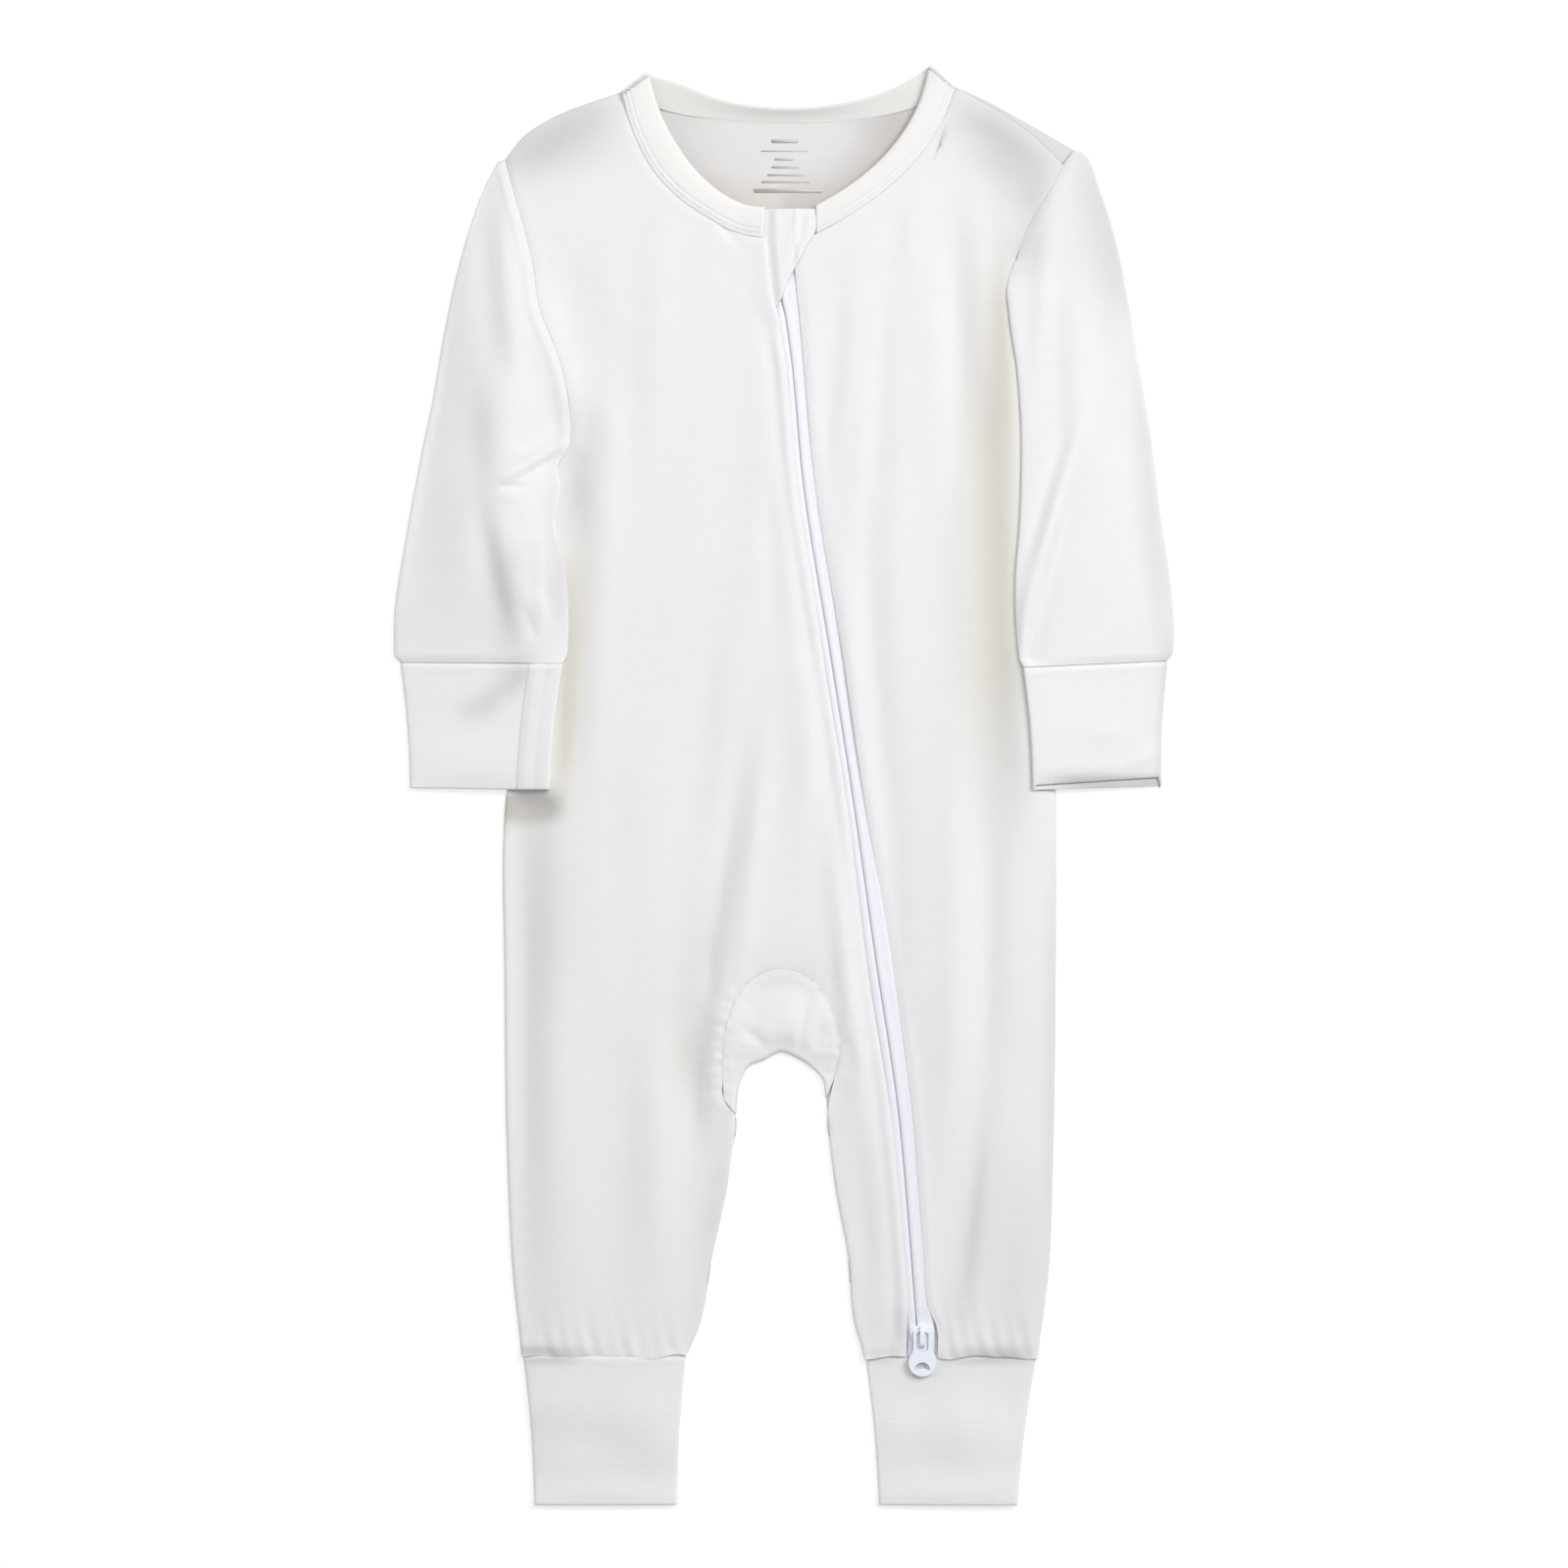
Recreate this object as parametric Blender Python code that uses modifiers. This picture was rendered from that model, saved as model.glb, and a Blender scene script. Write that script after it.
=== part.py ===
"""A footless zip romper laid flat on a surface, front up, each sewn piece a wall of cloth of its own.

The scene is in metres with +Z up. The neck points along +Y, the wearer's left is +X, and the cloth rests
on z = 0. The tables are in millimetres, and MM turns them into metres when a mesh is made. Right and
left are always the wearer's, so the right sleeve lies on the -X side.
"""

import math
from collections import namedtuple

import bmesh
import bpy
import numpy as np

MM = 0.001

# Walls and clearances
KNIT = 1.0            # jersey wall
RIB = 1.4             # doubled rib of the cuffs and the neck band
TAPE = 1.0            # woven zip tape
GAP = 0.3             # between two pieces at a seam
CURVED_GAP = 0.8      # the same at the neck and the armholes, where the facets of both cut corners
LAID = 0.9            # between a sleeve and the front that it lies on
BEND = 0.12           # how far a wall reaches out at a bend, kept above the surface

# How the layers lie
BACK_TOP = 1.0        # top of the back panel, which lies flat
EDGE_Z = 1.9          # middle of the front's wall where it turns down to the back
LOFT = 4.6            # middle of the front's wall away from its edges
ZIP_Z = 3.4           # middle of the front's wall beside the zip
TAPE_Z = 1.9          # middle of the tapes, under the front edges
ROLL = 20.0           # width over which an edge rounds down
FOLD_R = 1.2          # radius of a tube's folded edge
CUFF_SEAM_Y = -233.0  # leg cuffs start here

# The body's side edges, down from the shoulders. The armholes are the stretches above CLOSE_RIGHT and
# CLOSE_LEFT, where each sleeve becomes a closed tube.
Side = namedtuple("Side", "y right left")
SIDES = (
    Side(259, -114.2, 118.8),
    Side(253, -113.2, 114.2),
    Side(245, -111.2, 110.2),
    Side(225, -105.6, 98.6),
    Side(214, -102.8, 95.2),
    Side(195, -99.8, 95.4),
    Side(170, -90.6, 98.8),
    Side(150, -87.2, 102.4),
    Side(140, -87.4, 104.0),
    Side(132, -92.0, 105.2),
    Side(120, -96.4, 106.4),
    Side(80, -101.6, 108.2),
    Side(30, -109.0, 110.0),
    Side(-10, -113.8, 111.0),
    Side(-80, -114.0, 110.8),
    Side(-150, -113.0, 109.8),
    Side(-200, -110.6, 107.8),
    Side(CUFF_SEAM_Y, -107.0, 103.6),
)
CLOSE_RIGHT = 139.6
CLOSE_LEFT = 214.2

# The shoulders, from the neck band out to the armholes: the front's edge, and on the left the back's
# edge too, which shows past the seam there.
Shoulder = namedtuple("Shoulder", "right_x right_y left_x left_y left_back_x left_back_y")
SHOULDERS = (
    Shoulder(-66.2, 282.6, 69.8, 284.6, 69.8, 285.2),
    Shoulder(-80.0, 278.0, 81.2, 278.8, 81.8, 280.0),
    Shoulder(-95.8, 271.4, 96.0, 269.4, 97.6, 271.4),
    Shoulder(-107.0, 263.6, 106.4, 261.0, 109.8, 264.4),
    Shoulder(-113.4, 255.4, 114.2, 253.0, 118.8, 259.0),
)

# The neck band, from the shoulder line round to its ends at the zip: its seam and its free edge.
Band = namedtuple("Band", "seam_x seam_y edge_x edge_y")
BAND_RIGHT = (
    Band(-66.2, 282.6, -56.0, 290.6),
    Band(-61.8, 266.6, -51.4, 275.4),
    Band(-54.2, 251.4, -44.6, 261.8),
    Band(-43.8, 239.8, -35.8, 249.8),
    Band(-31.0, 231.0, -25.0, 240.6),
    Band(-19.0, 224.8, -15.8, 236.2),
    Band(-8.4, 222.6, -7.8, 235.0),
)
BAND_LEFT = (
    Band(69.8, 284.6, 60.0, 293.6),
    Band(65.0, 271.8, 55.4, 277.8),
    Band(56.6, 257.8, 47.4, 263.8),
    Band(43.8, 244.6, 33.8, 249.4),
    Band(27.4, 232.6, 23.4, 241.8),
    Band(13.4, 224.6, 13.0, 235.8),
)
# Across the back of the neck the band stands up a little, so its free edge is the higher one.
BackBand = namedtuple("BackBand", "seam_x seam_y edge_x edge_y edge_height")
BAND_BACK = (
    BackBand(-46.0, 274.6, -43.8, 286.2, 3.4),
    BackBand(-25.8, 271.6, -25.0, 279.0, 6.6),
    BackBand(0.2, 270.0, 0.2, 275.8, 7.8),
    BackBand(28.2, 271.4, 27.6, 278.6, 6.6),
    BackBand(49.6, 275.4, 49.8, 286.4, 3.4),
)
BAND_BACK_Z = 2.1     # middle of the band's wall over the edge of the back panel
BAND_LAP = 1.5        # how far that edge reaches under the band
BAND_SHOULDER_Z = 4.6 # middle of the band's wall where it folds over the shoulder

# The edges of the two fronts beside the zip. They part round the slider at the bottom.
Zip = namedtuple("Zip", "y right_front left_front")
ZIP = (
    Zip(222, -5.6, 2.6),
    Zip(204, -4.0, 5.0),
    Zip(185, -0.6, 7.0),
    Zip(120, 5.8, 13.0),
    Zip(54, 16.2, 23.8),
    Zip(-10, 26.4, 33.4),
    Zip(-70, 34.2, 43.2),
    Zip(-134, 43.8, 52.4),
    Zip(-190, 49.2, 56.8),
    Zip(-214, 50.8, 59.2),
    Zip(-222, 50.2, 62.4),
    Zip(CUFF_SEAM_Y, 49.8, 62.8),
)
SLIT_SHARE = 0.38     # where the tapes meet, as a share of the way from the right front to the left
TAPE_WIDTH = 9.0      # each half
TAPE_TOP_Y = 220.0
TAPE_END_Y = -219.6   # the slider starts here

# The crotch gusset, from its tip in the right leg round to its tip in the left leg.
Gusset = namedtuple("Gusset", "arch_x arch_y crotch_x crotch_y")
GUSSET = (
    Gusset(-24.6, -129.0, -19.8, -135.0),
    Gusset(-25.0, -112.0, -17.8, -121.0),
    Gusset(-22.4, -94.2, -14.6, -115.4),
    Gusset(-13.0, -79.6, -8.0, -112.6),
    Gusset(-1.4, -75.4, -1.4, -109.4),
    Gusset(11.0, -79.6, 5.5, -112.0),
    Gusset(19.8, -92.8, 11.6, -115.8),
    Gusset(23.2, -107.0, 16.0, -120.6),
    Gusset(20.6, -120.0, 17.2, -128.0),
)

Leg = namedtuple("Leg", "y right left")
INNER_LEGS = (
    Leg(-136, -19.8, 17.8),
    Leg(-165, -23.6, 21.2),
    Leg(-192, -29.4, 26.2),
    Leg(-222, -35.2, 29.4),
    Leg(CUFF_SEAM_Y, -40.0, 33.0),
)

# The sleeves, down from the shoulder. Above the underarm the inner edge is the armhole, which SIDES
# gives; below it the tube is closed, and its folded edge lies on the body. The outer edge is the point
# level with each place of the inner edge.
Sleeve = namedtuple("Sleeve", "inner_y inner_x outer_x outer_y")
SLEEVE_RIGHT = (
    Sleeve(255.4, -113.6, -116.6, 254.2),
    Sleeve(246, -111.8, -121.6, 244.6),
    Sleeve(231, -107.2, -128.4, 226.0),
    Sleeve(197, -100.4, -137.8, 188.0),
    Sleeve(169, -90.4, -143.4, 156.0),
    Sleeve(149, -87.2, -146.8, 140.0),
    Sleeve(139.6, -87.4, -148.4, 132.0),
    Sleeve(130, -92.8, -149.8, 124.6),
    Sleeve(121, -91.4, -151.2, 117.6),
    Sleeve(106.6, -93.8, -153.6, 104.0),
    Sleeve(89.8, -90.2, -156.4, 88.0),
    Sleeve(74.2, -88.4, -158.6, 73.0),
    Sleeve(49.8, -88.8, -159.2, 50.2),
)
SLEEVE_LEFT = (
    Sleeve(259, 118.8, 121.6, 258.0),
    Sleeve(253, 114.2, 124.6, 255.0),
    Sleeve(245, 110.2, 127.6, 246.4),
    Sleeve(227, 99.8, 134.8, 224.0),
    Sleeve(214.2, 95.0, 137.6, 211.6),
    Sleeve(205, 91.6, 139.4, 202.4),
    Sleeve(191.4, 92.2, 141.6, 190.0),
    Sleeve(169, 95.4, 145.4, 168.0),
    Sleeve(146.6, 97.0, 149.0, 145.6),
    Sleeve(110.2, 96.6, 153.6, 110.0),
    Sleeve(79.8, 94.6, 158.0, 79.8),
    Sleeve(62, 95.2, 159.2, 62.0),
    Sleeve(48.2, 96.4, 158.4, 51.2),
)
# The rows of the body's panels, by the height at its side, so that fronts, back and sleeves share them
ARM_RIGHT_YS = (139.6, 150, 164, 180, 197, 215, 235, 255.4)
ARM_LEFT_YS = (214.2, 219, 230, 242, 253.0)
SLEEVE_LOFT = 1.2     # how far a sleeve's upper layer rises over the height of its edges
SAG = 1.7             # how soon it drops from the edge on the body, 1 being a straight slope

# The cuffs, each a tube with its own four corners; the open end of one shows, so its upper layer is
# shorter by open_end.
Cuff = namedtuple("Cuff", "name top_in top_out end_in end_out loft open_end")
CUFFS = (
    Cuff("cuff_right", (-90.6, 49.2), (-156.4, 49.8), (-95.8, -2.2), (-152.4, -1.4), 1.0, 0.0),
    Cuff("cuff_left", (97.8, 47.6), (156.4, 50.4), (101.8, -2.4), (153.6, -0.8), 1.2, 3.6),
    Cuff("leg_cuff_right", (-40.4, -233.6), (-105.6, -233.6), (-44.0, -294.2), (-101.6, -294.2), 1.4, 0.0),
    Cuff("leg_cuff_left", (35.2, -233.6), (100.4, -233.6), (39.2, -294.2), (95.0, -294.2), 0.2, 0.0),
)
MITTEN_WIDTH = 13.0   # the turned strip along the right cuff's inner edge

# The largest folds of the fronts: troughs are negative, ridges positive.
Fold = namedtuple("Fold", "x0 y0 x1 y1 half_width height")
FRONT_FOLDS = (
    Fold(-2, 100, -24, -40, 12, -1.6),
    Fold(-22, -20, -40, -165, 13, -2.2),
    Fold(-52, 40, -58, -120, 20, 1.6),
    Fold(-82, 0, -80, -210, 12, 1.2),
    Fold(-102, -14, -100, -226, 8, -1.0),
    Fold(-78, 160, -80, 100, 10, -1.6),
    Fold(-60, 214, -60, 150, 13, -1.2),
    Fold(-36, 200, -30, 60, 16, 1.2),
    Fold(36, 230, 42, 40, 10, -1.4),
    Fold(58, 226, 57, 104, 12, 1.6),
    Fold(80, 190, 78, 10, 11, -1.6),
    Fold(62, 60, 68, -150, 14, 1.8),
    Fold(94, -70, 70, -205, 9, -1.4),
)
SLEEVE_FOLDS = (
    Fold(-86, 140, -118, 118, 5, -1.2),
    Fold(-101, 210, -96, 150, 8, 1.4),
    Fold(-124, 200, -120, 70, 9, -1.0),
    Fold(122, 150, 101, 60, 7, 1.2),
    Fold(112, 230, 110, 140, 8, -1.0),
)

# The guard over the top of the zip: its left and right edges, down to its point. It tucks under the
# right front and lies over the left one.
Guard = namedtuple("Guard", "y tucked free")
GUARD = (
    Guard(234.6, -6.6, 12.4),
    Guard(224.4, -5.2, 12.0),
    Guard(216.0, -4.4, 8.0),
    Guard(207.0, -3.6, 3.6),
    Guard(198.0, -2.0, 0.4),
)
GUARD_WALL = 1.0
GUARD_TUCKED_Z = 3.5  # middle of its wall under the right front

# The slider and its pull tab
SLIDER_X = 56.4
SLIDER_Y = -226.3
SLIDER_LENGTH = 10.4
SLIDER_WIDTH = 10.0
SLIDER_NARROW = 6.4       # at its foot end
PLATE = 1.1
SLIDER_BOTTOM_Z = 1.4
SLIDER_TOP_Z = 4.3        # top of the upper plate
FLANGE = 0.9              # rims that hold the tapes in
BAIL_WIDTH = 2.0
BAIL_WALL = 0.9
BAIL_LENGTH = 8.8
BAIL_Y = -225.7
BAIL_TOP_Z = 7.1
TAB_WALL = 1.0
TAB_Z = 5.2               # middle of the tab, and its hinge
TAB_PIVOT_Y = -223.2
TAB_BAR = 1.2             # the tab's bar under the bail
TAB_NECK = 7.6
TAB_SLOT = (4.8, 7.6)     # width and length of the opening round the bail
TAB_ROUND_R = 5.7
TAB_LENGTH = 19.2
TAB_HOLE_R = 3.1

Look = namedtuple("Look", "color roughness metallic")
JERSEY = Look((0.86, 0.85, 0.82), 0.85, 0.0)
RIBBING = Look((0.85, 0.84, 0.79), 0.88, 0.0)
WOVEN = Look((0.86, 0.87, 0.90), 0.7, 0.0)
PAINTED = Look((0.84, 0.86, 0.90), 0.35, 0.1)


def clear_scene():
    for obj in list(bpy.data.objects):
        bpy.data.objects.remove(obj, do_unlink=True)


def put_in(obj, collection_name):
    """Moves an object into the named collection, which is made when it is first asked for."""
    collection = bpy.data.collections.get(collection_name)
    if collection is None:
        collection = bpy.data.collections.new(collection_name)
        bpy.context.scene.collection.children.link(collection)
    for other in list(obj.users_collection):
        other.objects.unlink(obj)
    collection.objects.link(obj)
    return obj


def material_of(name, look):
    material = bpy.data.materials.new(name)
    material.use_nodes = True
    shader = material.node_tree.nodes["Principled BSDF"]
    shader.inputs["Base Color"].default_value = (*look.color, 1.0)
    shader.inputs["Roughness"].default_value = look.roughness
    shader.inputs["Metallic"].default_value = look.metallic
    return material


def smooth(stations, values, at):
    """A smooth curve through the values at the stations, read at other places."""
    order = np.argsort(stations)
    xs = np.asarray(stations, float)[order]
    ys = np.asarray(values, float)[order]
    slopes = np.gradient(ys, xs)
    i = np.clip(np.searchsorted(xs, at) - 1, 0, len(xs) - 2)
    step = xs[i + 1] - xs[i]
    t = np.clip((at - xs[i]) / step, 0.0, 1.0)
    start = ys[i] * (1 + 2 * t) * (1 - t) ** 2 + slopes[i] * step * t * (1 - t) ** 2
    end = ys[i + 1] * t**2 * (3 - 2 * t) - slopes[i + 1] * step * t**2 * (1 - t)
    return start + end


def column(table, name):
    return [getattr(row, name) for row in table]


def edge_x(table, name, y):
    """Where a table's edge lies at the height y."""
    return smooth(column(table, "y"), column(table, name), y)


def path(points):
    """The smooth plane curve through the points, as a function of 0 to 1 along its length."""
    points = np.asarray(points, float)
    stations = lengths(points)

    def at(t):
        t = np.asarray(t, float)
        return np.stack([smooth(stations, points[:, 0], t), smooth(stations, points[:, 1], t)], -1)

    return at


def joined(curves, shares):
    """Plane curves end to end as one; each takes its share of the whole."""
    ends = np.concatenate([[0.0], np.cumsum(shares)]) / np.sum(shares)

    def at(t):
        t = np.asarray(t, float)
        which = np.clip(np.searchsorted(ends, t, side="right") - 1, 0, len(curves) - 1)
        points = np.zeros(t.shape + (2,))
        for i, curve in enumerate(curves):
            local = np.clip((t - ends[i]) / (ends[i + 1] - ends[i]), 0, 1)
            points = np.where((which == i)[..., None], curve(local), points)
        return points

    return at


def table_path(table, x_name, y_name):
    return path(list(zip(column(table, x_name), column(table, y_name))))


def climb(table, name, bottom, top):
    """An edge of a table as a curve from the height bottom (0) up to the height top (1)."""

    def at(t):
        y = bottom + (top - bottom) * np.asarray(t, float)
        return np.stack([edge_x(table, name, y), y], -1)

    return at


def shares_of(heights):
    """Heights as shares of the way from the lowest to the highest."""
    heights = np.asarray(heights, float)
    return (heights - heights[0]) / (heights[-1] - heights[0])


def lengths(points):
    """How far along its points each point of a curve lies, from 0 to 1."""
    points = np.asarray(points, float)
    steps = np.hypot(*np.diff(points, axis=0).T)
    return np.concatenate([[0.0], np.cumsum(steps)]) / steps.sum()


def patch(left, right, bottom, top, us, vs):
    """Plane points spread evenly inside four curves: rows run up, columns run from left to right."""
    u, v = np.meshgrid(us, vs)
    u, v = u[..., None], v[..., None]
    across = (1 - u) * left(v[..., 0]) + u * right(v[..., 0])
    along = (1 - v) * bottom(u[..., 0]) + v * top(u[..., 0])
    corners = (1 - u) * (1 - v) * bottom(0.0) + u * (1 - v) * bottom(1.0)
    corners = corners + (1 - u) * v * top(0.0) + u * v * top(1.0)
    return across + along - corners


def nearest(points, curve, samples=160):
    """The distance of each plane point from a curve."""
    line = curve(np.linspace(0, 1, samples))
    flat = points.reshape(-1, 2)
    apart = np.linalg.norm(flat[:, None, :] - line[None, :, :], axis=2)
    return apart.min(axis=1).reshape(points.shape[:-1])


def rounded(share):
    """A quarter round: 0 at an edge and 1 from the share 1 on."""
    return np.sqrt(1 - (1 - np.clip(share, 0, 1)) ** 2)


def eased(share):
    share = np.clip(share, 0, 1)
    return share * share * (3 - 2 * share)


def folds_at(folds, points):
    """The rise and fall that the folds give each plane point."""
    x, y = points[..., 0], points[..., 1]
    total = np.zeros(x.shape)
    for fold in folds:
        run_x, run_y = fold.x1 - fold.x0, fold.y1 - fold.y0
        length = math.hypot(run_x, run_y)
        t = ((x - fold.x0) * run_x + (y - fold.y0) * run_y) / length**2
        across = ((x - fold.x0) * run_y - (y - fold.y0) * run_x) / length
        ends = eased(t / 0.3) * eased((1 - t) / 0.3)
        total = total + fold.height * ends * np.exp(-((across / fold.half_width) ** 2))
    return total


def turned_edges():
    """The edges where the front turns down to the back: sides, inner legs, crotch and shoulders."""
    inner_right = [(row.right, row.y) for row in INNER_LEGS]
    inner_left = [(row.left, row.y) for row in INNER_LEGS]
    crotch = list(zip(column(GUSSET, "crotch_x"), column(GUSSET, "crotch_y")))
    return (
        climb(SIDES, "right", CUFF_SEAM_Y, CLOSE_RIGHT),
        climb(SIDES, "left", CUFF_SEAM_Y, CLOSE_LEFT),
        path(inner_right[::-1] + crotch),
        path(crotch[-2:] + inner_left),
        table_path(SHOULDERS, "right_x", "right_y"),
        table_path(SHOULDERS, "left_x", "left_y"),
    )


def front_height(points):
    """The middle of the front's wall over each plane point."""
    apart = np.min([nearest(points, edge) for edge in turned_edges()], axis=0)
    height = EDGE_Z + (LOFT - EDGE_Z) * rounded(apart / ROLL)
    y = points[..., 1]
    zip_x = (edge_x(ZIP, "right_front", y) + edge_x(ZIP, "left_front", y)) / 2
    from_zip = eased((np.abs(points[..., 0] - zip_x) - 6) / 12)
    from_zip = np.maximum(from_zip, 0.35 * eased((y - 150) / 60))
    folds = folds_at(FRONT_FOLDS, points) * eased(apart / 14)
    height = height + folds * from_zip
    beside_zip = np.minimum(ZIP_Z, EDGE_Z + (LOFT - EDGE_Z) * rounded(apart / ROLL))
    return beside_zip + (height - beside_zip) * from_zip


def guard_lift(points):
    """The right front is lifted where the guard tucks under its edge."""
    edge = edge_x(ZIP, "right_front", points[..., 1])
    near = eased(1 - np.abs(edge - points[..., 0]) / 12)
    return 1.5 * near * eased((points[..., 1] - 184) / 12)


def outside(points, side):
    """How far outside the body's side edge each plane point lies, negative inside."""
    edge = edge_x(SIDES, side, points[..., 1])
    return (points[..., 0] - edge) * (1 if side == "left" else -1)


def over_body(points, side, wall):
    """The middle of a wall that lies on the front, also a little outside the front's edge."""
    inward = points.copy()
    edge = edge_x(SIDES, side, points[..., 1])
    inward[..., 0] = np.where(outside(points, side) > 0, edge, points[..., 0])
    return front_height(inward) + KNIT / 2 + LAID + wall / 2


def cloth(name, points, wall, look, keep=None, ring=False):
    """A wall of cloth over rows of points in millimetres; cells where keep is false are left out."""
    rows, columns = points.shape[:2]
    bm = bmesh.new()
    bmesh.ops.create_grid(bm, x_segments=columns - 1, y_segments=rows - 1, size=0.5)
    place = {}
    for vert in bm.verts:
        i = round((vert.co.x + 0.5) * (columns - 1))
        j = round((vert.co.y + 0.5) * (rows - 1))
        place[vert] = (i, j)
    if keep is not None:
        gone = []
        for face in bm.faces:
            corners = [place[vert] for vert in face.verts]
            if not keep[min(j for _, j in corners)][min(i for i, _ in corners)]:
                gone.append(face)
        bmesh.ops.delete(bm, geom=gone, context="FACES")
    for vert in bm.verts:
        i, j = place[vert]
        vert.co = points[j, i] * MM
    if ring:
        bmesh.ops.remove_doubles(bm, verts=bm.verts, dist=1e-6)
    bmesh.ops.recalc_face_normals(bm, faces=bm.faces)
    return finished(name, bm, wall, look)


def finished(name, bm, wall, look):
    mesh = bpy.data.meshes.new(name)
    bm.to_mesh(mesh)
    bm.free()
    mesh.shade_smooth()
    obj = put_in(bpy.data.objects.new(name, mesh), "footless_zip_romper")
    mesh.materials.append(material_of(name, look))
    solidify = obj.modifiers.new("wall", "SOLIDIFY")
    solidify.thickness = wall * MM
    solidify.offset = 0.0
    solidify.use_even_offset = True
    return obj


def raised(plane, heights):
    return np.concatenate([plane, heights[..., None]], axis=-1)


def spaced(*cells):
    """Column places from 0 to 1: each cell is a share of the width."""
    places = np.concatenate([[0.0], np.cumsum(cells)])
    return places / places[-1]


def neckline(band, apart):
    """The body's neck edge: the band's seam line, moved that far away from the band."""
    moved = []
    for row in band:
        away = np.array([row.seam_x - row.edge_x, row.seam_y - row.edge_y])
        moved.append(tuple(np.array([row.seam_x, row.seam_y]) + apart * away / np.hypot(*away)))
    return moved


SPLIT_Y = -84.0
LEG_CELLS = (0.02, 0.06, 0.12, 0.15, 0.16, 0.16, 0.14, 0.12, 0.07)
INNER_CELLS = (0.12, 0.28, 0.35, 0.25)
ARCH_CELLS = 12


def arch_line(moved=0.0):
    """The gusset's arch as plane points, moved outwards."""
    ts = np.linspace(0, 1, ARCH_CELLS + 1)
    arch = table_path(GUSSET, "arch_x", "arch_y")(ts)
    along = np.gradient(arch, axis=0)
    away = np.stack([-along[:, 1], along[:, 0]], -1)
    return arch + moved * away / np.linalg.norm(away, axis=1)[:, None]


def leg_edge(name, steps):
    """The inner edge of a leg, from its cuff up to the crotch."""
    ys = np.linspace(CUFF_SEAM_Y, INNER_LEGS[0].y, steps)
    return np.stack([edge_x(INNER_LEGS, name, ys), ys], -1)


def build_front_right():
    """Body, right leg and the inner part of the left leg: three patches that share their edges."""
    arch = arch_line(GAP)
    first, last = ARCH_CELLS // 3, ARCH_CELLS - ARCH_CELLS // 3
    crown = arch[first:last + 1]
    side_foot = climb(SIDES, "right", SPLIT_Y, 0)(0.0)
    zip_foot = climb(ZIP, "right_front", SPLIT_Y, 0)(0.0)
    over_leg = path([side_foot, crown[0]])
    over_inner = path([crown[-1], zip_foot])
    widths = (crown[0][0] - side_foot[0], crown[-1][0] - crown[0][0], zip_foot[0] - crown[-1][0])
    crown_us = lengths(crown)
    us = np.concatenate([
        spaced(*LEG_CELLS)[:-1] * widths[0],
        widths[0] + crown_us[:-1] * widths[1],
        widths[0] + widths[1] + spaced(*INNER_CELLS) * widths[2],
    ]) / sum(widths)
    corner = us[5]
    neck_line = neckline(BAND_RIGHT, CURVED_GAP)
    shoulder = path([(row.right_x, row.right_y) for row in SHOULDERS[:0:-1]] + neck_line[:1])
    neck = path(neck_line + [(ZIP[0].right_front, ZIP[0].y)])
    body_ys = np.concatenate([np.linspace(SPLIT_Y, 127, 12), ARM_RIGHT_YS])
    body = patch(
        climb(SIDES, "right", SPLIT_Y, body_ys[-1]),
        climb(ZIP, "right_front", SPLIT_Y, ZIP[0].y),
        joined([over_leg, path(crown), over_inner], widths),
        joined([shoulder, neck], [corner, 1 - corner]),
        us, shares_of(body_ys),
    )
    columns = len(LEG_CELLS)
    inside = np.concatenate([leg_edge("right", 8), arch[:first + 1]])
    right_leg = patch(
        climb(SIDES, "right", CUFF_SEAM_Y, SPLIT_Y), path(inside),
        path([(edge_x(SIDES, "right", CUFF_SEAM_Y), CUFF_SEAM_Y), inside[0]]), over_leg,
        us[:columns + 1] / us[columns], lengths(inside),
    )
    inside = np.concatenate([leg_edge("left", 8), arch[last:][::-1]])
    inner_us = us[columns + last - first:]
    left_leg = patch(
        path(inside), climb(ZIP, "right_front", CUFF_SEAM_Y, SPLIT_Y),
        path([inside[0], (edge_x(ZIP, "right_front", CUFF_SEAM_Y), CUFF_SEAM_Y)]), over_inner,
        (inner_us - inner_us[0]) / (1 - inner_us[0]), lengths(inside),
    )
    blank = np.repeat(right_leg[:, -1:], last - first - 1, axis=1)
    legs = np.concatenate([right_leg, blank, left_leg], axis=1)
    plane = np.concatenate([legs[:-1], body], axis=0)
    keep = np.ones((len(plane) - 1, len(us) - 1), bool)
    keep[:len(legs) - 1, columns:columns + last - first] = False
    heights = front_height(plane) + guard_lift(plane)
    return cloth("front_right", raised(plane, heights), KNIT, JERSEY, keep)


def build_front_left():
    """The strip beyond the zip, from the shoulder down the outer left leg."""
    neck_line = neckline(BAND_LEFT, CURVED_GAP)
    shoulder = path(neck_line[:1] + [(row.left_x, row.left_y) for row in SHOULDERS[1:]])
    neck = path([(ZIP[0].left_front, ZIP[0].y)] + neck_line[::-1])
    us = spaced(0.07, 0.09, 0.11, 0.12, 0.12, 0.12, 0.12, 0.14, 0.08, 0.03)
    ys = np.concatenate([[CUFF_SEAM_Y, -227, -220, -210], np.linspace(-193, 200, 20), ARM_LEFT_YS])
    plane = patch(
        climb(ZIP, "left_front", CUFF_SEAM_Y, ZIP[0].y),
        climb(SIDES, "left", CUFF_SEAM_Y, ys[-1]),
        path([(ZIP[-1].left_front, CUFF_SEAM_Y), (SIDES[-1].left, CUFF_SEAM_Y)]),
        joined([neck, shoulder], [us[6], 1 - us[6]]), us, shares_of(ys),
    )
    return cloth("front_left", raised(plane, front_height(plane)), KNIT, JERSEY)


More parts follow.
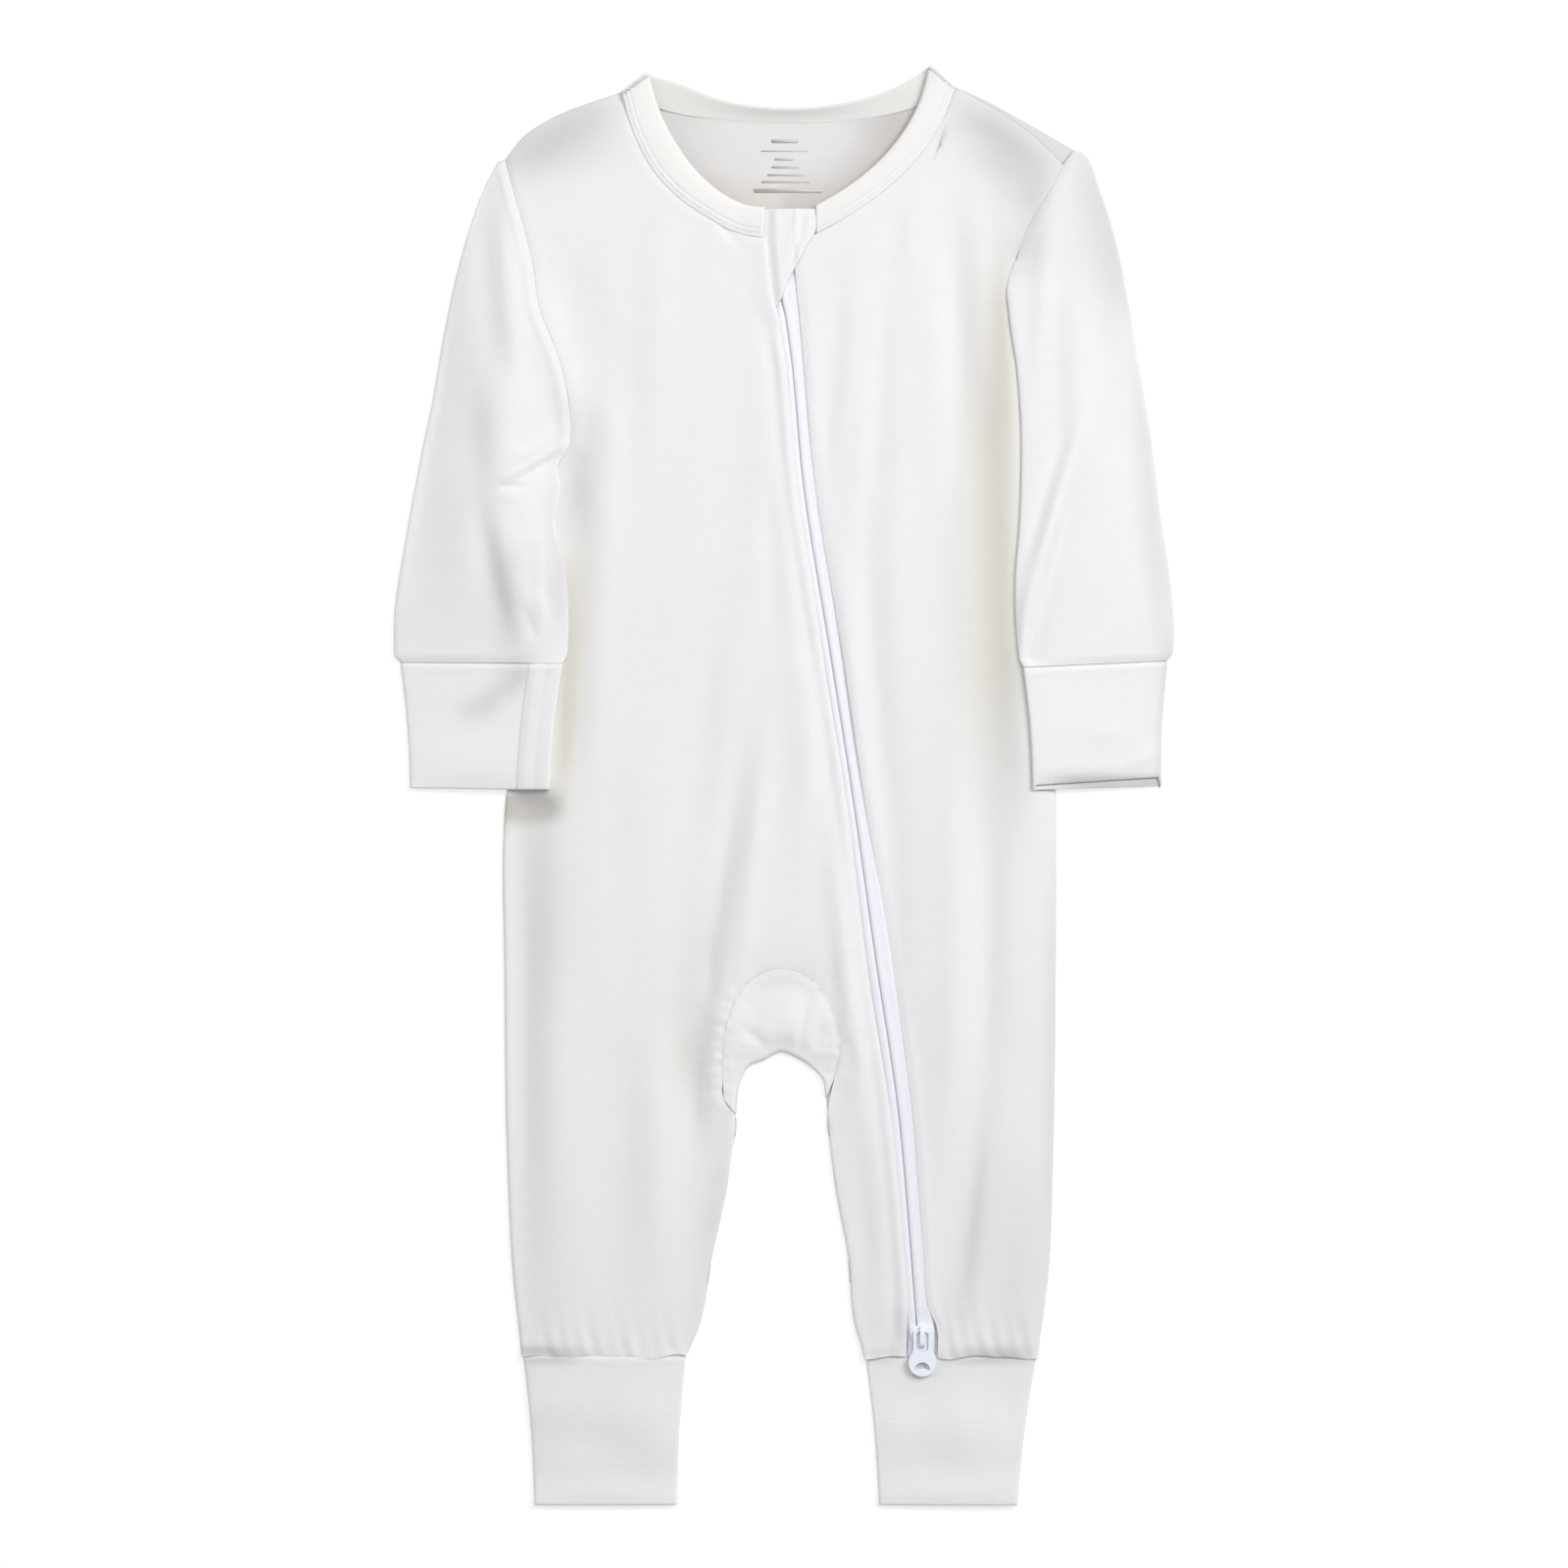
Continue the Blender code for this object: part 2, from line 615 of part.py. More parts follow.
def build_back():
    """One flat panel: its outline is the fronts' and the gusset's together."""
    crotch = list(zip(column(GUSSET, "crotch_x"), column(GUSSET, "crotch_y")))
    split_y = -116.0
    right_foot = climb(SIDES, "right", split_y, 0)(0.0)
    left_foot = climb(SIDES, "left", split_y, 0)(0.0)
    widths = (crotch[2][0] - right_foot[0], crotch[6][0] - crotch[2][0], left_foot[0] - crotch[6][0])
    over_right = path([right_foot, crotch[2]])
    over_left = path([crotch[6], left_foot])
    us = np.concatenate([
        np.linspace(0, 1, 5)[:-1] * widths[0],
        widths[0] + lengths(crotch[2:7])[:-1] * widths[1],
        widths[0] + widths[1] + np.linspace(0, 1, 5) * widths[2],
    ]) / sum(widths)
    shoulder_right = path(list(zip(column(SHOULDERS, "right_x"), column(SHOULDERS, "right_y")))[::-1])
    shoulder_left = table_path(SHOULDERS, "left_back_x", "left_back_y")
    start, end = SHOULDERS[0][:2], SHOULDERS[0][4:]
    neck = path([start] + neckline(BAND_BACK, -BAND_LAP) + [end])
    below = np.linspace(split_y, 120, 9)
    body_ys = np.concatenate([below, ARM_RIGHT_YS])
    left_ys = np.concatenate([below, np.linspace(145, 214.2, 4), ARM_LEFT_YS[2:], [259]])
    left_side = climb(SIDES, "left", split_y, left_ys[-1])

    def left_edge(v):
        return left_side(np.interp(v, shares_of(body_ys), shares_of(left_ys)))

    body = patch(
        climb(SIDES, "right", split_y, body_ys[-1]),
        left_edge,
        joined([over_right, path(crotch[2:7]), over_left], widths),
        joined([shoulder_right, neck, shoulder_left], [us[3], us[9] - us[3], 1 - us[9]]),
        us, shares_of(body_ys),
    )
    legs = []
    for name, upper in (("right", crotch[:3]), ("left", crotch[6:][::-1])):
        inside = np.concatenate([leg_edge(name, 7), upper])
        side = climb(SIDES, name, CUFF_SEAM_Y, split_y)
        foot = [side(0.0), inside[0]]
        edges = (side, path(inside), path(foot), over_right)
        if name == "left":
            edges = (path(inside), side, path(foot[::-1]), over_left)
        legs.append(patch(*edges, np.linspace(0, 1, 5), lengths(inside)))
    blank = np.repeat(legs[0][:, -1:], 3, axis=1)
    plane = np.concatenate([np.concatenate([legs[0], blank, legs[1]], axis=1)[:-1], body], axis=0)
    keep = np.ones((len(plane) - 1, len(us) - 1), bool)
    keep[:len(legs[0]) - 1, 4:8] = False
    heights = np.full(plane.shape[:2], BACK_TOP - KNIT / 2)
    return cloth("back", raised(plane, heights), KNIT, JERSEY, keep)


def build_gusset():
    arch = table_path(GUSSET, "arch_x", "arch_y")
    crotch = table_path(GUSSET, "crotch_x", "crotch_y")
    plane = patch(
        path([crotch(0.0), arch(0.0)]), path([crotch(1.0), arch(1.0)]),
        crotch, arch, np.linspace(0, 1, ARCH_CELLS + 1), np.array([0, 0.12, 0.35, 0.65, 1.0]),
    )
    return cloth("crotch_gusset", raised(plane, front_height(plane)), KNIT, JERSEY)


def build_neck_band():
    """One strip: up the right front edge, over the shoulder fold, across the back and down the left."""

    def front_sections(band, samples):
        ts = np.linspace(0, 1, samples)
        seam = table_path(band, "seam_x", "seam_y")(ts)
        edge = table_path(band, "edge_x", "edge_y")(ts)
        near_fold = eased(1 - ts / 0.25)
        height = front_height(seam) + guard_lift(seam)
        height = height + (BAND_SHOULDER_Z - height) * near_fold
        return np.stack([raised(seam, height), raised(edge, height)], axis=1)

    def shoulder_fold(section, outward):
        """The half turn from the front's height down to the back's."""
        radius = (section[0, 2] - BAND_BACK_Z) / 2
        turned = []
        for angle in np.radians([0, 45, 90, 135, 180]):
            shift = np.append(outward * radius * (math.sin(angle) - 1), -radius * (1 - math.cos(angle)))
            turned.append(section + shift)
        return np.array(turned)

    right = front_sections(BAND_RIGHT, 14)
    left = front_sections(BAND_LEFT, 14)
    right_out = np.array([-0.62, 0.78])
    left_out = np.array([0.64, 0.77])
    right_fold = shoulder_fold(right[0], right_out)
    left_fold = shoulder_fold(left[0], left_out)
    ends = [right_fold[-1], left_fold[-1]]
    seam_line = list(zip(column(BAND_BACK, "seam_x"), column(BAND_BACK, "seam_y")))
    edge_line = list(zip(column(BAND_BACK, "edge_x"), column(BAND_BACK, "edge_y")))
    seam = path([ends[0][0, :2]] + seam_line + [ends[1][0, :2]])
    edge = path([ends[0][1, :2]] + edge_line + [ends[1][1, :2]])
    ts = np.linspace(0, 1, 15)[1:-1]
    heights = [BAND_BACK_Z] + column(BAND_BACK, "edge_height") + [BAND_BACK_Z]
    edge_height = smooth(np.linspace(0, 1, len(heights)), heights, ts)
    back = np.stack([raised(seam(ts), np.full(len(ts), BAND_BACK_Z)), raised(edge(ts), edge_height)], axis=1)
    sections = np.concatenate([right[:0:-1], right_fold, back, left_fold[::-1], left[1:]])
    across = np.linspace(0, 1, 3)[None, :, None]
    points = sections[:, :1] * (1 - across) + sections[:, 1:] * across
    return cloth("neck_band", points, RIB, RIBBING)


def under_layer(inner, unit, width, side, wall, closed):
    """Plane points and heights of a tube's lower layer: over the body's edge, down, and on the surface.

    Each row has the same number of columns, set by where the body's side edge passes under it.
    """
    fold = np.minimum(FOLD_R, 0.3 * width)
    first = np.where(closed, fold, CURVED_GAP)
    inside = np.maximum(-outside(inner, side), 0)
    brink = np.maximum(inside + 0.8, first + 0.7)
    beyond = np.linspace(0, 1, 3)[None, 1:]
    flat = (brink + 5)[:, None] + (width - fold - brink - 5)[:, None] * beyond
    bent = np.stack([first, (first + brink) / 2, brink, brink + 2.5, brink + 5], 1)
    bent = np.concatenate([bent, flat], axis=1)
    even = first[:, None] + (width - fold - first)[:, None] * np.linspace(0, 1, bent.shape[1])[None, :]
    wide = eased((width - 12) / 20)[:, None]
    apart = even + (bent - even) * wide
    plane = inner[:, None] + unit[:, None] * apart[..., None]
    up = np.clip((brink[:, None] + 5 - apart) / 5, 0, 1) * closed[:, None]
    resting = wall / 2 + BEND
    lower = resting + (over_body(plane, side, wall) - resting) * up
    return plane, lower


def tube(name, low, high, folds_in, folds_out, wall, look, open_rows=0):
    """A flattened tube: its lower layer, its outer fold, its upper layer and its inner fold."""
    outer = raised(folds_out, (low[:, -1, 2] + high[:, -1, 2]) / 2)
    inner = raised(folds_in, (low[:, 0, 2] + high[:, 0, 2]) / 2)
    points = np.concatenate([low, outer[:, None], high[:, ::-1], inner[:, None], low[:, :1]], axis=1)
    keep = np.ones((points.shape[0] - 1, points.shape[1] - 1), bool)
    keep[:open_rows, -2:] = False
    return cloth(name, points, wall, look, keep, ring=True)


def build_sleeve(name, table, side, close_y, ys):
    """Open along the armhole above close_y, where its two layers meet the front and the back."""
    closed = ys <= close_y
    edge = edge_x(SIDES, side, ys)
    out = 1 if side == "left" else -1
    inner_x = np.where(closed, edge_x(table_by_inner(table), "inner_x", ys), edge)
    first = int(np.argmax(closed))
    inner_x[first] = edge[first] + out * (FOLD_R + GAP)
    inner = np.stack([inner_x, ys], -1)
    outer = np.stack([edge_x(table_by_inner(table), axis, ys) for axis in ("outer_x", "outer_y")], -1)
    width = np.linalg.norm(outer - inner, axis=1)
    unit = (outer - inner) / width[:, None]
    plane, lower = under_layer(inner, unit, width, side, KNIT, closed)
    fold = np.minimum(FOLD_R, 0.3 * width)
    start = np.where(closed, fold, CURVED_GAP)
    shares = spaced(0.07, 0.15, 0.2, 0.22, 0.19, 0.11, 0.06)
    apart = start[:, None] + (width - fold - start)[:, None] * shares
    high = inner[:, None] + unit[:, None] * apart[..., None]
    seam = np.maximum(front_height(high[:, 0]), lower[:, 0] + KNIT + GAP)
    inner_z = np.where(closed, lower[:, 0] + 2 * FOLD_R, seam)
    outer_z = lower[:, -1] + np.minimum(2 * FOLD_R, 1.3 + 0.1 * width)
    level = outer_z[:, None] + (inner_z - outer_z)[:, None] * (1 - shares) ** SAG
    bulge = np.sin(np.pi * shares) ** 0.8
    upper = level + SLEEVE_LOFT * eased(width / 45)[:, None] * bulge + folds_at(SLEEVE_FOLDS, high) * bulge
    for _ in range(2):
        upper[1:-1, 1:] = (upper[:-2, 1:] + 2 * upper[1:-1, 1:] + upper[2:, 1:]) / 4
    return tube(name, raised(plane, lower), raised(high, upper), inner, outer, KNIT, JERSEY, first)


def table_by_inner(table):
    """A sleeve's table as one that edge_x reads by the height of its inner edge."""
    row = namedtuple("Row", "y inner_x outer_x outer_y")
    return [row(*line) for line in table]


def cuff_layers(cuff):
    """Points of a cuff's lower and upper layers, and its two folded edges."""
    side = "left" if cuff.top_in[0] > 0 else "right"
    top_in, top_out, end_in, end_out = np.array(cuff[1:5], float)
    rows = np.linspace(0, 1, 5)[:, None]
    waist = 0.9 * np.sin(np.pi * rows)
    across = (top_out - top_in) / np.linalg.norm(top_out - top_in)
    inner = top_in + (end_in - top_in) * rows + across * waist
    outer = top_out + (end_out - top_out) * rows - across * waist
    width = np.linalg.norm(outer - inner, axis=1)
    unit = (outer - inner) / width[:, None]
    shares = spaced(0.05, 0.12, 0.2, 0.26, 0.2, 0.12, 0.05)
    high = inner[:, None] + unit[:, None] * (FOLD_R + (width - 2 * FOLD_R)[:, None] * shares)[..., None]
    if cuff.name.startswith("leg"):
        plane = high.copy()
        lower = np.full(plane.shape[:2], RIB / 2 + BEND)
    else:
        plane, lower = under_layer(inner, unit, width, side, RIB, np.ones(len(inner), bool))
    ends = (lower[:, :1] + 2 * FOLD_R + 0.2, lower[:, -1:] + 2 * FOLD_R + 0.2)
    upper = ends[1] + (ends[0] - ends[1]) * (1 - shares) ** SAG + cuff.loft * np.sin(np.pi * shares) ** 0.7
    high[..., 1] += cuff.open_end * rows**3
    return raised(plane, lower), raised(high, upper), inner, outer


def build_cuff(cuff):
    low, high, inner, outer = cuff_layers(cuff)
    return tube(cuff.name, low, high, inner, outer, RIB, RIBBING)


def build_mitten_fold():
    """The strip lies on the right cuff's upper layer, so it is made from that layer's points, moved out."""
    cuff = CUFFS[0]
    high = cuff_layers(cuff)[1]
    rise = (RIB + KNIT) / 2 + GAP
    rows = []
    for layer in high:
        points = layer[0, :2] + np.array([-1.0, 0.0]) * MITTEN_WIDTH * np.linspace(0, 1, 5)[:, None]
        rows.append(raised(points, np.interp(-points[:, 0], -layer[:, 0], layer[:, 2]) + rise))
    return cloth("mitten_fold", np.array(rows), KNIT, RIBBING)


def build_tapes():
    ys = np.linspace(TAPE_END_Y, TAPE_TOP_Y, 19)
    right_front = edge_x(ZIP, "right_front", ys)
    left_front = edge_x(ZIP, "left_front", ys)
    slit = right_front + SLIT_SHARE * (left_front - right_front)
    made = []
    for name, sign in (("zip_tape_right", -1), ("zip_tape_left", 1)):
        near = slit + sign * GAP / 2
        columns = [near, near + sign * TAPE_WIDTH / 2, near + sign * TAPE_WIDTH]
        plane = np.stack([np.stack(columns, -1), np.repeat(ys[:, None], 3, axis=1)], -1)
        heights = np.full(plane.shape[:2], TAPE_Z)
        made.append(cloth(name, raised(plane, heights), TAPE, WOVEN))
    return made


def build_guard():
    """Tucked under the right front on one side, over the left front on the other."""
    ys = np.linspace(GUARD[-1].y, GUARD[0].y, 9)
    tucked = edge_x(GUARD, "tucked", ys)
    free = edge_x(GUARD, "free", ys)
    shares = np.linspace(0, 1, 7)
    x = tucked[:, None] + (free - tucked)[:, None] * shares[None, :]
    plane = np.stack([x, np.repeat(ys[:, None], 7, axis=1)], -1)
    on_left = np.stack([np.maximum(x, edge_x(ZIP, "left_front", plane[..., 1])), plane[..., 1]], -1)
    resting = front_height(on_left) + (KNIT + GUARD_WALL) / 2 + CURVED_GAP
    over_left = eased((x - edge_x(ZIP, "right_front", ys)[:, None] - 1.0) / 5.0)
    heights = GUARD_TUCKED_Z + (resting - GUARD_TUCKED_Z) * over_left
    return cloth("zip_guard", raised(plane, heights), GUARD_WALL, JERSEY)


def outline(name, loops, half_height, bevel):
    """A flat plate: the closed loops, in millimetres, filled between and extruded."""
    curve = bpy.data.curves.new(name, "CURVE")
    curve.dimensions = "2D"
    curve.fill_mode = "BOTH"
    for loop in loops:
        spline = curve.splines.new("POLY")
        spline.points.add(len(loop) - 1)
        for point, (x, y) in zip(spline.points, loop):
            point.co = (x * MM, y * MM, 0.0, 1.0)
        spline.use_cyclic_u = True
    curve.extrude = (half_height - bevel) * MM
    curve.bevel_depth = bevel * MM
    curve.bevel_resolution = 2
    curve.offset = -bevel * MM
    source = bpy.data.objects.new(name, curve)
    bpy.context.collection.objects.link(source)
    bpy.context.view_layer.update()
    mesh = bpy.data.meshes.new_from_object(source.evaluated_get(bpy.context.evaluated_depsgraph_get()))
    bpy.data.objects.remove(source)
    bm = bmesh.new()
    bm.from_mesh(mesh)
    bmesh.ops.remove_doubles(bm, verts=bm.verts, dist=1e-6)
    bmesh.ops.recalc_face_normals(bm, faces=bm.faces)
    bm.to_mesh(mesh)
    bm.free()
    mesh.name = name
    mesh.shade_smooth()
    mesh.set_sharp_from_angle(angle=math.radians(40))
    return put_in(bpy.data.objects.new(name, mesh), "footless_zip_romper")


def arc(x, y, radius, start, end, steps):
    angles = np.radians(np.linspace(start, end, steps + 1))
    return [(x + radius * math.cos(a), y + radius * math.sin(a)) for a in angles]


def unite(target, others):
    for other in others:
        join = target.modifiers.new("join_" + other.name, "BOOLEAN")
        join.operation = "UNION"
        join.solver = "EXACT"
        join.object = other
        other.hide_render = True
        other.display_type = "WIRE"
        put_in(other, "cutters")


def plate_loop():
    """The slider seen from above: two round shoulders at the tape end, narrower at the foot end."""
    wide, narrow, half = SLIDER_WIDTH / 2, SLIDER_NARROW / 2, SLIDER_LENGTH / 2
    shoulder = 2.4
    right = arc(wide - shoulder, half - shoulder, shoulder, 90, 0, 6)
    foot = arc(narrow - 1.2, -half + 1.2, 1.2, 0, -90, 4)
    half_loop = [(0.9, half - 0.7)] + right + [(wide - 0.1, 0.8), (narrow + 0.5, -1.8)] + foot
    return half_loop + [(-x, y) for x, y in reversed(half_loop)]


def build_slider():
    """Two plates joined by the wedge that parts the coils, rims down the sides, and the bail on top."""
    top = outline("zip_slider", [plate_loop()], PLATE / 2, 0.3)
    top.location = (SLIDER_X * MM, SLIDER_Y * MM, (SLIDER_TOP_Z - PLATE / 2) * MM)
    under = outline("slider_under_plate", [plate_loop()], PLATE / 2, 0.25)
    under.location = (SLIDER_X * MM, SLIDER_Y * MM, (SLIDER_BOTTOM_Z + PLATE / 2) * MM)
    wedge_loop = [(-1.6, 4.2), (-0.9, 4.8), (0.9, 4.8), (1.6, 4.2), (0.7, -0.6), (-0.7, -0.6)]
    half_inside = (SLIDER_TOP_Z - SLIDER_BOTTOM_Z) / 2 - 0.3
    wedge = outline("slider_wedge", [wedge_loop], half_inside, 0.05)
    wedge.location = (SLIDER_X * MM, SLIDER_Y * MM, (SLIDER_TOP_Z + SLIDER_BOTTOM_Z) / 2 * MM)
    rims = []
    for sign in (-1, 1):
        inner = SLIDER_NARROW / 2 - FLANGE
        rim_loop = [(inner, -4.6), (inner + FLANGE, -4.6), (inner + FLANGE + 0.4, -1.8), (inner + 0.4, -1.8)]
        rim = outline("slider_rim", [[(sign * x, y) for x, y in rim_loop]], half_inside, 0.05)
        rim.location = (SLIDER_X * MM, SLIDER_Y * MM, (SLIDER_TOP_Z + SLIDER_BOTTOM_Z) / 2 * MM)
        rims.append(rim)
    rise = BAIL_TOP_Z - SLIDER_TOP_Z + 0.5
    half = BAIL_LENGTH / 2
    corner = 1.5
    outer = [(-half, 0), (-half, rise - corner)] + arc(-half + corner, rise - corner, corner, 180, 90, 5)[1:]
    outer += arc(half - 2.6, rise - 2.6, 2.6, 90, 0, 6) + [(half, 0)]
    inside = rise - BAIL_WALL
    inner_arc = arc(half - 2.6, rise - 2.6, 2.6 - BAIL_WALL, 0, 90, 6)
    inner = [(half - BAIL_WALL, 0)] + inner_arc
    inner += [(-half + BAIL_WALL + 0.5, inside), (-half + BAIL_WALL, inside - 0.5), (-half + BAIL_WALL, 0)]
    bail = outline("slider_bail", [outer + inner], BAIL_WIDTH / 2, 0.25)
    bail.rotation_euler = (math.radians(90), 0, math.radians(-90))
    bail.location = (SLIDER_X * MM, BAIL_Y * MM, (SLIDER_TOP_Z - 0.5) * MM)
    unite(top, [under, wedge, *rims, bail])
    top.data.materials.append(material_of("zip_slider", PAINTED))
    return top


def build_pull_tab():
    """A plate that narrows to its neck, open round the bail, with a half-moon hole in its round end."""
    slot_width, slot_length = TAB_SLOT
    bar = TAB_BAR / 2
    neck = TAB_NECK / 2
    foot = -TAB_LENGTH + bar + TAB_ROUND_R
    right = [(neck - 0.8, bar), (neck, bar - 0.8), (neck - 0.15, -4.0), (neck - 0.1, -7.0)]
    right += [(neck + 0.2, -8.6)] + arc(0, foot, TAB_ROUND_R, 34, -90, 12)
    border = right + [(-x, y) for x, y in reversed(right[:-1])]
    slot = arc(-slot_width / 2 + 1, -bar - 1, 1, 180, 90, 3) + arc(slot_width / 2 - 1, -bar - 1, 1, 90, 0, 3)
    low = -bar - slot_length
    slot += arc(slot_width / 2 - 1.4, low + 1.4, 1.4, 0, -90, 4)
    slot += arc(-slot_width / 2 + 1.4, low + 1.4, 1.4, -90, -180, 4)
    moon = arc(0, foot - 3.0, TAB_HOLE_R, 8, 172, 12) + arc(0, foot - 9.4, 7.0, 114, 66, 6)
    tab = outline("zip_pull_tab", [border, slot, moon], TAB_WALL / 2, 0.3)
    tab.location = (SLIDER_X * MM, TAB_PIVOT_Y * MM, TAB_Z * MM)
    tab.data.materials.append(material_of("zip_pull_tab", PAINTED))
    return tab


def main():
    clear_scene()
    build_back()
    build_front_right()
    build_front_left()
    build_gusset()
    right_ys = np.concatenate([ARM_RIGHT_YS[::-1], [131, 122, 112, 101, 90, 79, 64, 49.8]])
    left_arm_ys = [208, 200, 192, 176, 160, 144, 127, 110, 94, 78, 63, 48.2]
    left_ys = np.concatenate([[259], ARM_LEFT_YS[::-1], left_arm_ys])
    build_sleeve("sleeve_right", SLEEVE_RIGHT, "right", CLOSE_RIGHT, right_ys)
    build_sleeve("sleeve_left", SLEEVE_LEFT, "left", CLOSE_LEFT, left_ys)
    for cuff in CUFFS:
        build_cuff(cuff)
    build_mitten_fold()
    build_neck_band()
    build_tapes()
    build_guard()
    build_slider()
    build_pull_tab()


main()
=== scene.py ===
"""A footless zip romper laid flat on a pale floor, front up, seen from straight above.

Lengths in the tables are millimetres, and MM turns them into metres when a mesh is made. Right and left
are the wearer's, so the right sleeve lies on the -X side. The neck points along +Y.
"""

import math
from collections import namedtuple

import bmesh
import bpy
import numpy as np
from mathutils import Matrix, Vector


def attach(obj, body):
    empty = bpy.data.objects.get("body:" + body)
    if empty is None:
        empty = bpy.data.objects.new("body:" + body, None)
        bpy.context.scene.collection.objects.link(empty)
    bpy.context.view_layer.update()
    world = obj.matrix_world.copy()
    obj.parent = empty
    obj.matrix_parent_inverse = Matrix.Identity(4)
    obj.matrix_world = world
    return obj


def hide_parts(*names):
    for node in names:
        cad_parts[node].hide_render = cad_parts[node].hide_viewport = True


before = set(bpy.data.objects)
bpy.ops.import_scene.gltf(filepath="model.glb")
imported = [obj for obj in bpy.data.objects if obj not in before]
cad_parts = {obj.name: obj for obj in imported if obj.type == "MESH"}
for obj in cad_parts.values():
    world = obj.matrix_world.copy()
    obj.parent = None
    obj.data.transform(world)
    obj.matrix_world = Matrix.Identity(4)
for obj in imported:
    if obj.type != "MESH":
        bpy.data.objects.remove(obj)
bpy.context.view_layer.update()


# ---- Camera, floor and light
# The photograph looks straight down with a long lens. The floor is a pale studio table. A large soft light
# stands at the upper right, with weaker ones overhead and on the left.
MM = 0.001
PHOTO_WIDTH = 640.0    # what the photograph's width takes in at the height of the cloth
CLOTH_HEIGHT = 4.0
FLOOR_DROP = 0.1       # so that the floor and the cloth's underside don't share one plane
STUDIO_TINT = (0.97, 0.98, 1.03)

camera_data = bpy.data.cameras.new("camera")
camera_data.lens = 100.0
camera_data.sensor_width = 36.0
camera = bpy.data.objects.new("camera", camera_data)
camera_distance = PHOTO_WIDTH * camera_data.lens / camera_data.sensor_width
camera.location = (0.0, 0.0, (camera_distance + CLOTH_HEIGHT) * MM)
camera_data.clip_start = 0.05
camera_data.clip_end = 50.0
bpy.context.scene.collection.objects.link(camera)
bpy.context.scene.camera = camera
bpy.context.scene.view_settings.view_transform = "Standard"

world = bpy.data.worlds.new("studio")
bpy.context.scene.world = world
world.use_nodes = True
world.node_tree.nodes["Background"].inputs["Color"].default_value = (0.97, 0.99, 1.05, 1.0)
world.node_tree.nodes["Background"].inputs["Strength"].default_value = 0.285


def soft_light(name, place, size, watts):
    """A square studio light at place, in metres, turned towards the garment."""
    data = bpy.data.lights.new(name, "AREA")
    data.shape = "SQUARE"
    data.size = size
    data.energy = watts
    data.color = STUDIO_TINT
    lamp = bpy.data.objects.new(name, data)
    lamp.location = place
    aim = -lamp.location
    lamp.rotation_euler = aim.to_track_quat("-Z", "Y").to_euler()
    bpy.context.scene.collection.objects.link(lamp)


soft_light("key_light", (1.75, 1.2, 2.3), 1.5, 59.0)
soft_light("overhead_light", (0.08, 0.38, 1.25), 0.8, 7.0)
soft_light("fill_light", (-1.9, 0.4, 1.2), 0.9, 6.0)


class Shade:
    """A socket in a material. Sums and products of sockets add their Math nodes."""

    def __init__(self, tree, socket=None):
        self.tree = tree
        self.socket = socket

    def node(self, kind, settings, sockets, output=0):
        """Any node, from its type, its settings and the values or links of its sockets."""
        made = self.tree.nodes.new(kind)
        for name, value in settings.items():
            setattr(made, name, value)
        for name, value in sockets.items():
            if isinstance(value, Shade):
                self.tree.links.new(value.socket, made.inputs[name])
            else:
                made.inputs[name].default_value = value
        return Shade(self.tree, made.outputs[output])

    def math(self, operation, first, second):
        """A Math node on two sockets, or on a socket and a number."""
        return self.node("ShaderNodeMath", {"operation": operation}, {0: first, 1: second})

    def __add__(self, other):
        return self.math("ADD", self, other)

    def __mul__(self, other):
        return self.math("MULTIPLY", self, other)

    __radd__ = __add__
    __rmul__ = __mul__

    def shaded(self, base, tint):
        """The colour base, taken towards base times tint as this socket goes from 0 to 1."""
        settings = {"data_type": "RGBA", "blend_type": "MULTIPLY"}
        return self.node("ShaderNodeMix", settings, {0: self, 6: base, 7: (*tint, 1.0)}, output=2)

    def color(self, low, high):
        """The colour low where this socket is 0 and high where it is 1."""
        sockets = {0: self, 6: (*low, 1.0), 7: (*high, 1.0)}
        return self.node("ShaderNodeMix", {"data_type": "RGBA"}, sockets, output=2)


def new_material(name, roughness, specular, sheen=0.0, sheen_roughness=0.5, coat=0.0, glow=0.0):
    """A material with its constant values set, its shader, and a start for its nodes."""
    material = bpy.data.materials.new(name)
    material.use_nodes = True
    shader = material.node_tree.nodes["Principled BSDF"]
    shader.inputs["Roughness"].default_value = roughness
    shader.inputs["Specular IOR Level"].default_value = specular
    shader.inputs["Sheen Weight"].default_value = sheen
    shader.inputs["Sheen Roughness"].default_value = sheen_roughness
    shader.inputs["Coat Weight"].default_value = coat
    shader.inputs["Subsurface Weight"].default_value = glow
    shader.inputs["Subsurface Radius"].default_value = (1.0, 0.95, 0.85)
    shader.inputs["Subsurface Scale"].default_value = 0.0016
    return material, shader, Shade(material.node_tree)


def feed(shader, name, value):
    """Links what changes over the surface to one of the shader's sockets."""
    value.tree.links.new(value.socket, shader.inputs[name])


floor_material, floor_shader, floor_nodes = new_material("pale_table", 0.9, 0.2)
place = floor_nodes.node("ShaderNodeTexCoord", {}, {}, output=3)
mottle = floor_nodes.node("ShaderNodeTexNoise", {}, {"Vector": place, "Scale": 6.0, "Detail": 3.0})
feed(floor_shader, "Base Color", mottle.color((0.40, 0.40, 0.385), (0.43, 0.43, 0.415)))
floor_shader.inputs["Emission Color"].default_value = (1.0, 0.99, 0.97, 1.0)
floor_shader.inputs["Emission Strength"].default_value = 0.64
bm = bmesh.new()
bmesh.ops.create_grid(bm, x_segments=4, y_segments=4, size=4.0)
bmesh.ops.translate(bm, verts=bm.verts, vec=(0.0, 0.0, -FLOOR_DROP * MM))
floor_mesh = bpy.data.meshes.new("floor")
bm.to_mesh(floor_mesh)
bm.free()
floor_mesh.materials.append(floor_material)
floor = bpy.data.objects.new("floor", floor_mesh)
